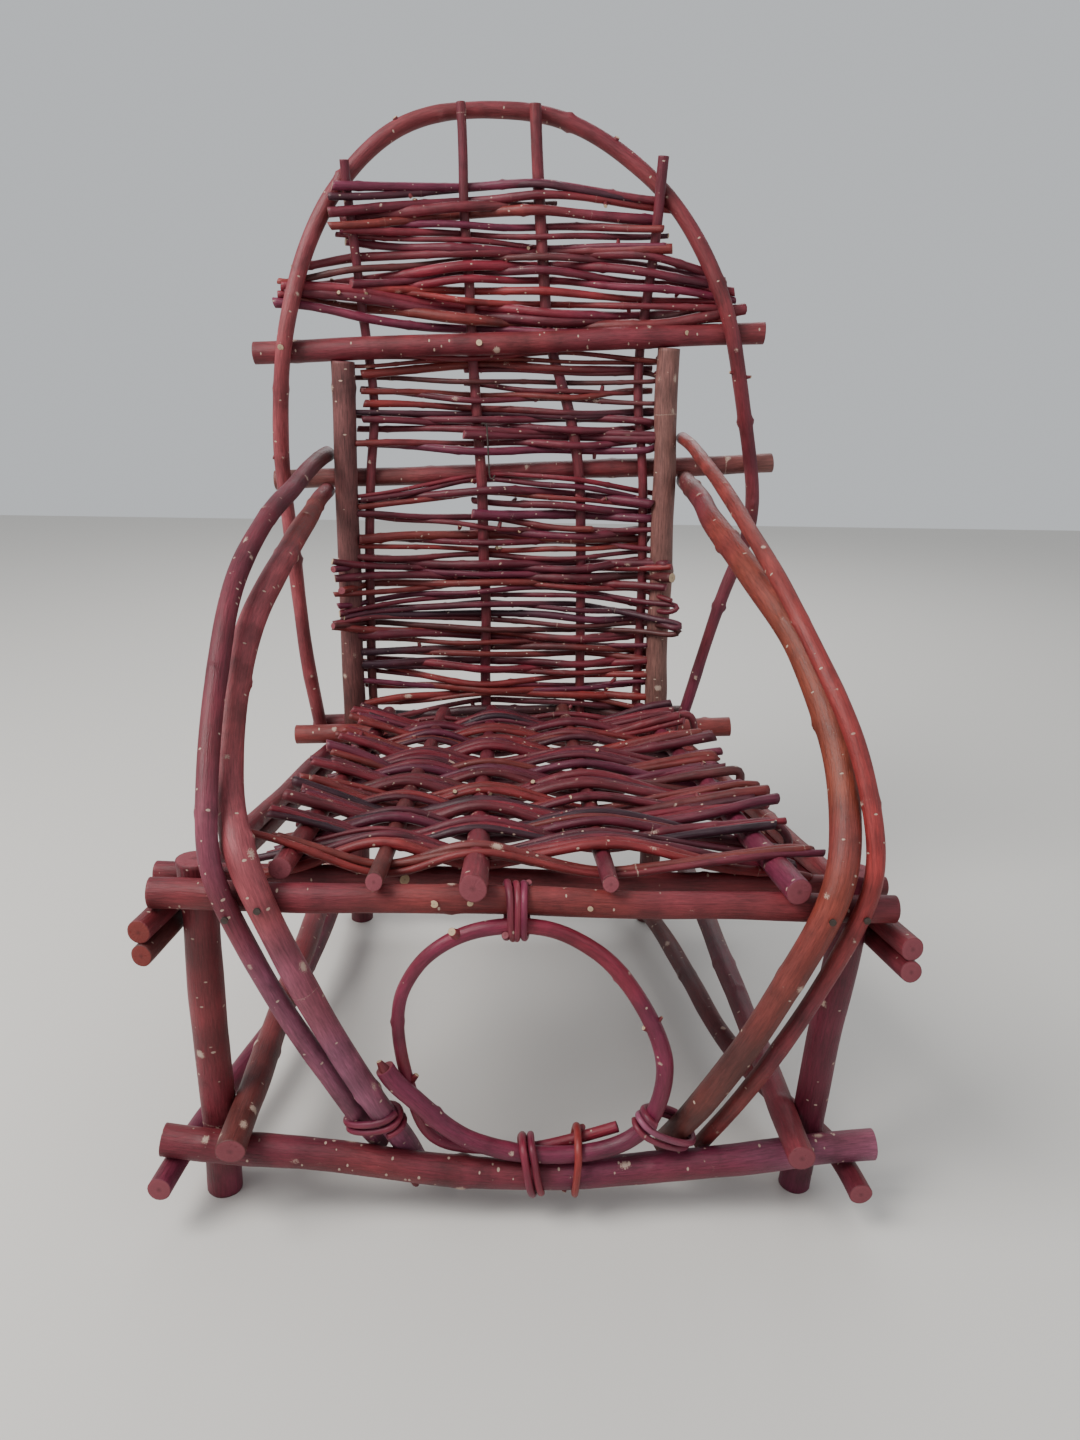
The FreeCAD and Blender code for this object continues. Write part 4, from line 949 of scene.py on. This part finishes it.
# A strand drawn tight round some rods: looking along them, its distance from the middle in each direction
# is the furthest rod's edge that way, reach(turn), so the strand lies at reach * out + slope * side, where
# slope is how fast reach changes with the turn. The turns drift along the rods.
def tautLoop(tie):
    across = np.array(tie["across"], float) / np.linalg.norm(tie["across"])
    rods = passedBy(tie["round"], np.array(tie["middle"], float), across, tie["near"])
    centre = rods[:, :3].mean(0)
    first = np.cross(across, (0, 1, 0.01))
    first /= np.linalg.norm(first)
    second = np.cross(across, first)
    turn = np.arange(0, 2 * np.pi * tie["turns"], strand["step"]) + tie["start"]
    out = np.cos(turn)[:, None] * first + np.sin(turn)[:, None] * second
    side = np.cos(turn)[:, None] * second - np.sin(turn)[:, None] * first
    edge = (rods[:, :3] - centre) @ out.T + rods[:, 3:4]
    reach = edge.max(0) + tie["thick"] / 2 + wander(turn, *strand["loose"])
    reach = soften(reach, strand["ease"])
    slope = np.gradient(reach, turn)
    drift = (turn - turn.mean()) / (2 * np.pi) * tie["pitch"] + wander(turn, *strand["stray"])
    return centre + reach[:, None] * out + slope[:, None] * side + drift[:, None] * across


# Rods that ties go round, with their radii there.
leftArms = [("left_outer_arm", 4.9), ("left_inner_arm", 5.7)]
rightFoot = [("right_inner_arm", 6.2), ("front_ring", 3.9)]
topRail = [("front_top_rail", 6.4), ("front_ring", 3.7)]
bottomRail = [("front_bottom_rail", 7.3), ("front_ring", 3.6)]
armFront = 200      # points along an arm, from where it only goes down
leftTie = passing(lines["left_inner_arm"][armFront:], 2, 54)
rightTie = passing(lines["right_inner_arm"][armFront:], 2, 44)

# Ties: the rods, a middle and how near to it they pass, the way along them, the turns and where they start,
# in radians, the strand's diameter and the mm from turn to turn.
ties = {
    "ring_top_tie": {
        "round": topRail, "middle": (-2, -148, 160), "near": 20, "across": (1, 0, 0), "turns": 3.6,
        "start": 2.0, "thick": 3.3, "pitch": 2.9, "colours": (plum, maroon, magenta, plum),
    },
    "ring_foot_tie_left": {
        "round": bottomRail, "middle": (6.5, -148, 28), "near": 20, "across": (1, 0, 0.12),
        "turns": 1.9, "start": 4.4, "thick": 3.7, "pitch": 3.9, "colours": (crimson, plum, crimson),
    },
    "ring_foot_tie_right": {
        "round": bottomRail, "middle": (27, -148, 28), "near": 20, "across": (1, 0, -0.1), "turns": 1.1,
        "start": 4.6, "thick": 3.7, "pitch": 3, "colours": (scarlet, brick),
    },
    "left_arms_tie": {
        "round": leftArms, "middle": leftTie, "near": 22, "across": (0.3, 0, -1), "turns": 2.2,
        "start": 0.5, "thick": 3.4, "pitch": 4.0, "colours": (plum, magenta),
    },
    "ring_side_tie": {
        "round": rightFoot, "middle": rightTie, "near": 26, "across": (-0.7, 0.1, -1), "turns": 2.3,
        "start": 1.5, "thick": 3.4, "pitch": 3.4, "colours": (plum, violet, plum),
    },
}
for node, tie in ties.items():
    thick = (tie["thick"], tie["thick"] * strand["thin"])
    skin = rodSkin(tautLoop(tie), {**strand["look"], "thick": thick, "colours": tie["colours"]})
    makePiece(node + "_strand", [skin], barks["tieBark"], [node])
print("ties:", len(ties))


nailLook = {"steel": (0.10, 0.095, 0.09), "rust": (0.05, 0.022, 0.014), "scale": 600, "metal": 0.8,
            "rough": 0.5}


# Dark worn steel: brown rust where the noise is high, bare steel elsewhere.
def steelMaterial(name):
    material, tree, shader = newMaterial(name)
    place = tree.nodes.new("ShaderNodeTexCoord")
    noise = tree.nodes.new("ShaderNodeTexNoise")
    noise.inputs["Scale"].default_value = nailLook["scale"]
    ramp = tree.nodes.new("ShaderNodeValToRGB")
    ramp.color_ramp.elements[0].color = (*nailLook["steel"], 1)
    ramp.color_ramp.elements[1].color = (*nailLook["rust"], 1)
    tree.links.new(place.outputs["Object"], noise.inputs["Vector"])
    tree.links.new(noise.outputs["Fac"], ramp.inputs["Fac"])
    tree.links.new(ramp.outputs["Color"], shader.inputs["Base Color"])
    shader.inputs["Metallic"].default_value = nailLook["metal"]
    shader.inputs["Roughness"].default_value = nailLook["rough"]
    return material


nailSteel = steelMaterial("nailSteel")
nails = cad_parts["nail_heads"]
nails.data.materials.clear()
nails.data.materials.append(nailSteel)

# A thin wire that hangs from a woven twig before the lower back rail, its end bent up.
wire = {"top": (-22, 134, 345), "bottom": (-20, 130, 312), "hook": 2.2, "ease": 1.5,
        "look": {"thick": (1, 1), "around": 8, "step": 0.8, "crook": 0.05, "knots": 900, "buds": 0}}
top, bottom = np.array(wire["top"], float), np.array(wire["bottom"], float)
hook = np.array([wire["hook"], 0, 0])
route = np.array([top - 2 * hook, top, bottom, bottom + hook - [0, 0, 1], bottom + 1.6 * hook + [0, 0, 3]])
route = soften(evenly(route, wire["look"]["step"])[0], wire["ease"])
makePiece("slat_wire", [rodSkin(route, wire["look"])], nailSteel)
print("nails and wire ready")

# Floor, studio light and camera.
stage = {"floor": 4.0, "colour": (0.60, 0.58, 0.55), "rough": 0.8, "world": (0.80, 0.83, 0.86),
         "worldPower": 0.74}
mesh = bpy.data.meshes.new("floor")
half = stage["floor"] / 2
mesh.from_pydata([(-half, -half, 0), (half, -half, 0), (half, half, 0), (-half, half, 0)], [], [(0, 1, 2, 3)])
floorMaterial, _, paint = newMaterial("floorPaint")
paint.inputs["Base Color"].default_value = (*stage["colour"], 1)
paint.inputs["Roughness"].default_value = stage["rough"]
mesh.materials.append(floorMaterial)
floor = bpy.data.objects.new("floor", mesh)
bpy.context.scene.collection.objects.link(floor)

world = bpy.data.worlds.new("studio")
world.use_nodes = True
sky = world.node_tree.nodes["Background"]
sky.inputs["Color"].default_value = (*stage["world"], 1)
sky.inputs["Strength"].default_value = stage["worldPower"]
bpy.context.scene.world = world

lamps = {
    "window": {"place": (-0.9, -0.5, 1.3), "size": 0.8, "power": 30, "colour": (1.0, 0.98, 0.95)},
    "fill": {"place": (1.1, -0.7, 0.9), "size": 1.1, "power": 3.5, "colour": (0.93, 0.96, 1.0)},
    "behind": {"place": (0.2, 1.2, 1.1), "size": 0.9, "power": 7, "colour": (1.0, 1.0, 1.0)},
}
aim = Vector((0, 0, 0.22))
for name, lamp in lamps.items():
    data = bpy.data.lights.new(name, "AREA")
    data.size = lamp["size"]
    data.energy = lamp["power"]
    data.color = lamp["colour"]
    light = bpy.data.objects.new(name, data)
    light.location = lamp["place"]
    light.rotation_euler = (aim - light.location).to_track_quat("-Z", "Y").to_euler()
    bpy.context.scene.collection.objects.link(light)

# The camera's place in mm and its turns in degrees.
camera = {"place": (-6.5, -560.8, 390), "down": 19.0, "right": 1.74, "roll": 1.1, "lens": 27.0,
          "sensor": 36, "nearest": 0.01}
data = bpy.data.cameras.new("camera")
data.sensor_fit = "VERTICAL"
data.sensor_height = camera["sensor"]
data.lens = camera["lens"]
data.clip_start = camera["nearest"]
eye = bpy.data.objects.new("camera", data)
eye.location = Vector(camera["place"]) * mm
turn = Euler(np.radians((90 - camera["down"], 0, -camera["right"])), "XYZ").to_matrix()
roll = Euler(np.radians((0, 0, camera["roll"])), "XYZ").to_matrix()
eye.rotation_euler = (turn @ roll).to_euler()
bpy.context.scene.collection.objects.link(eye)
bpy.context.scene.camera = eye
print("stage ready")
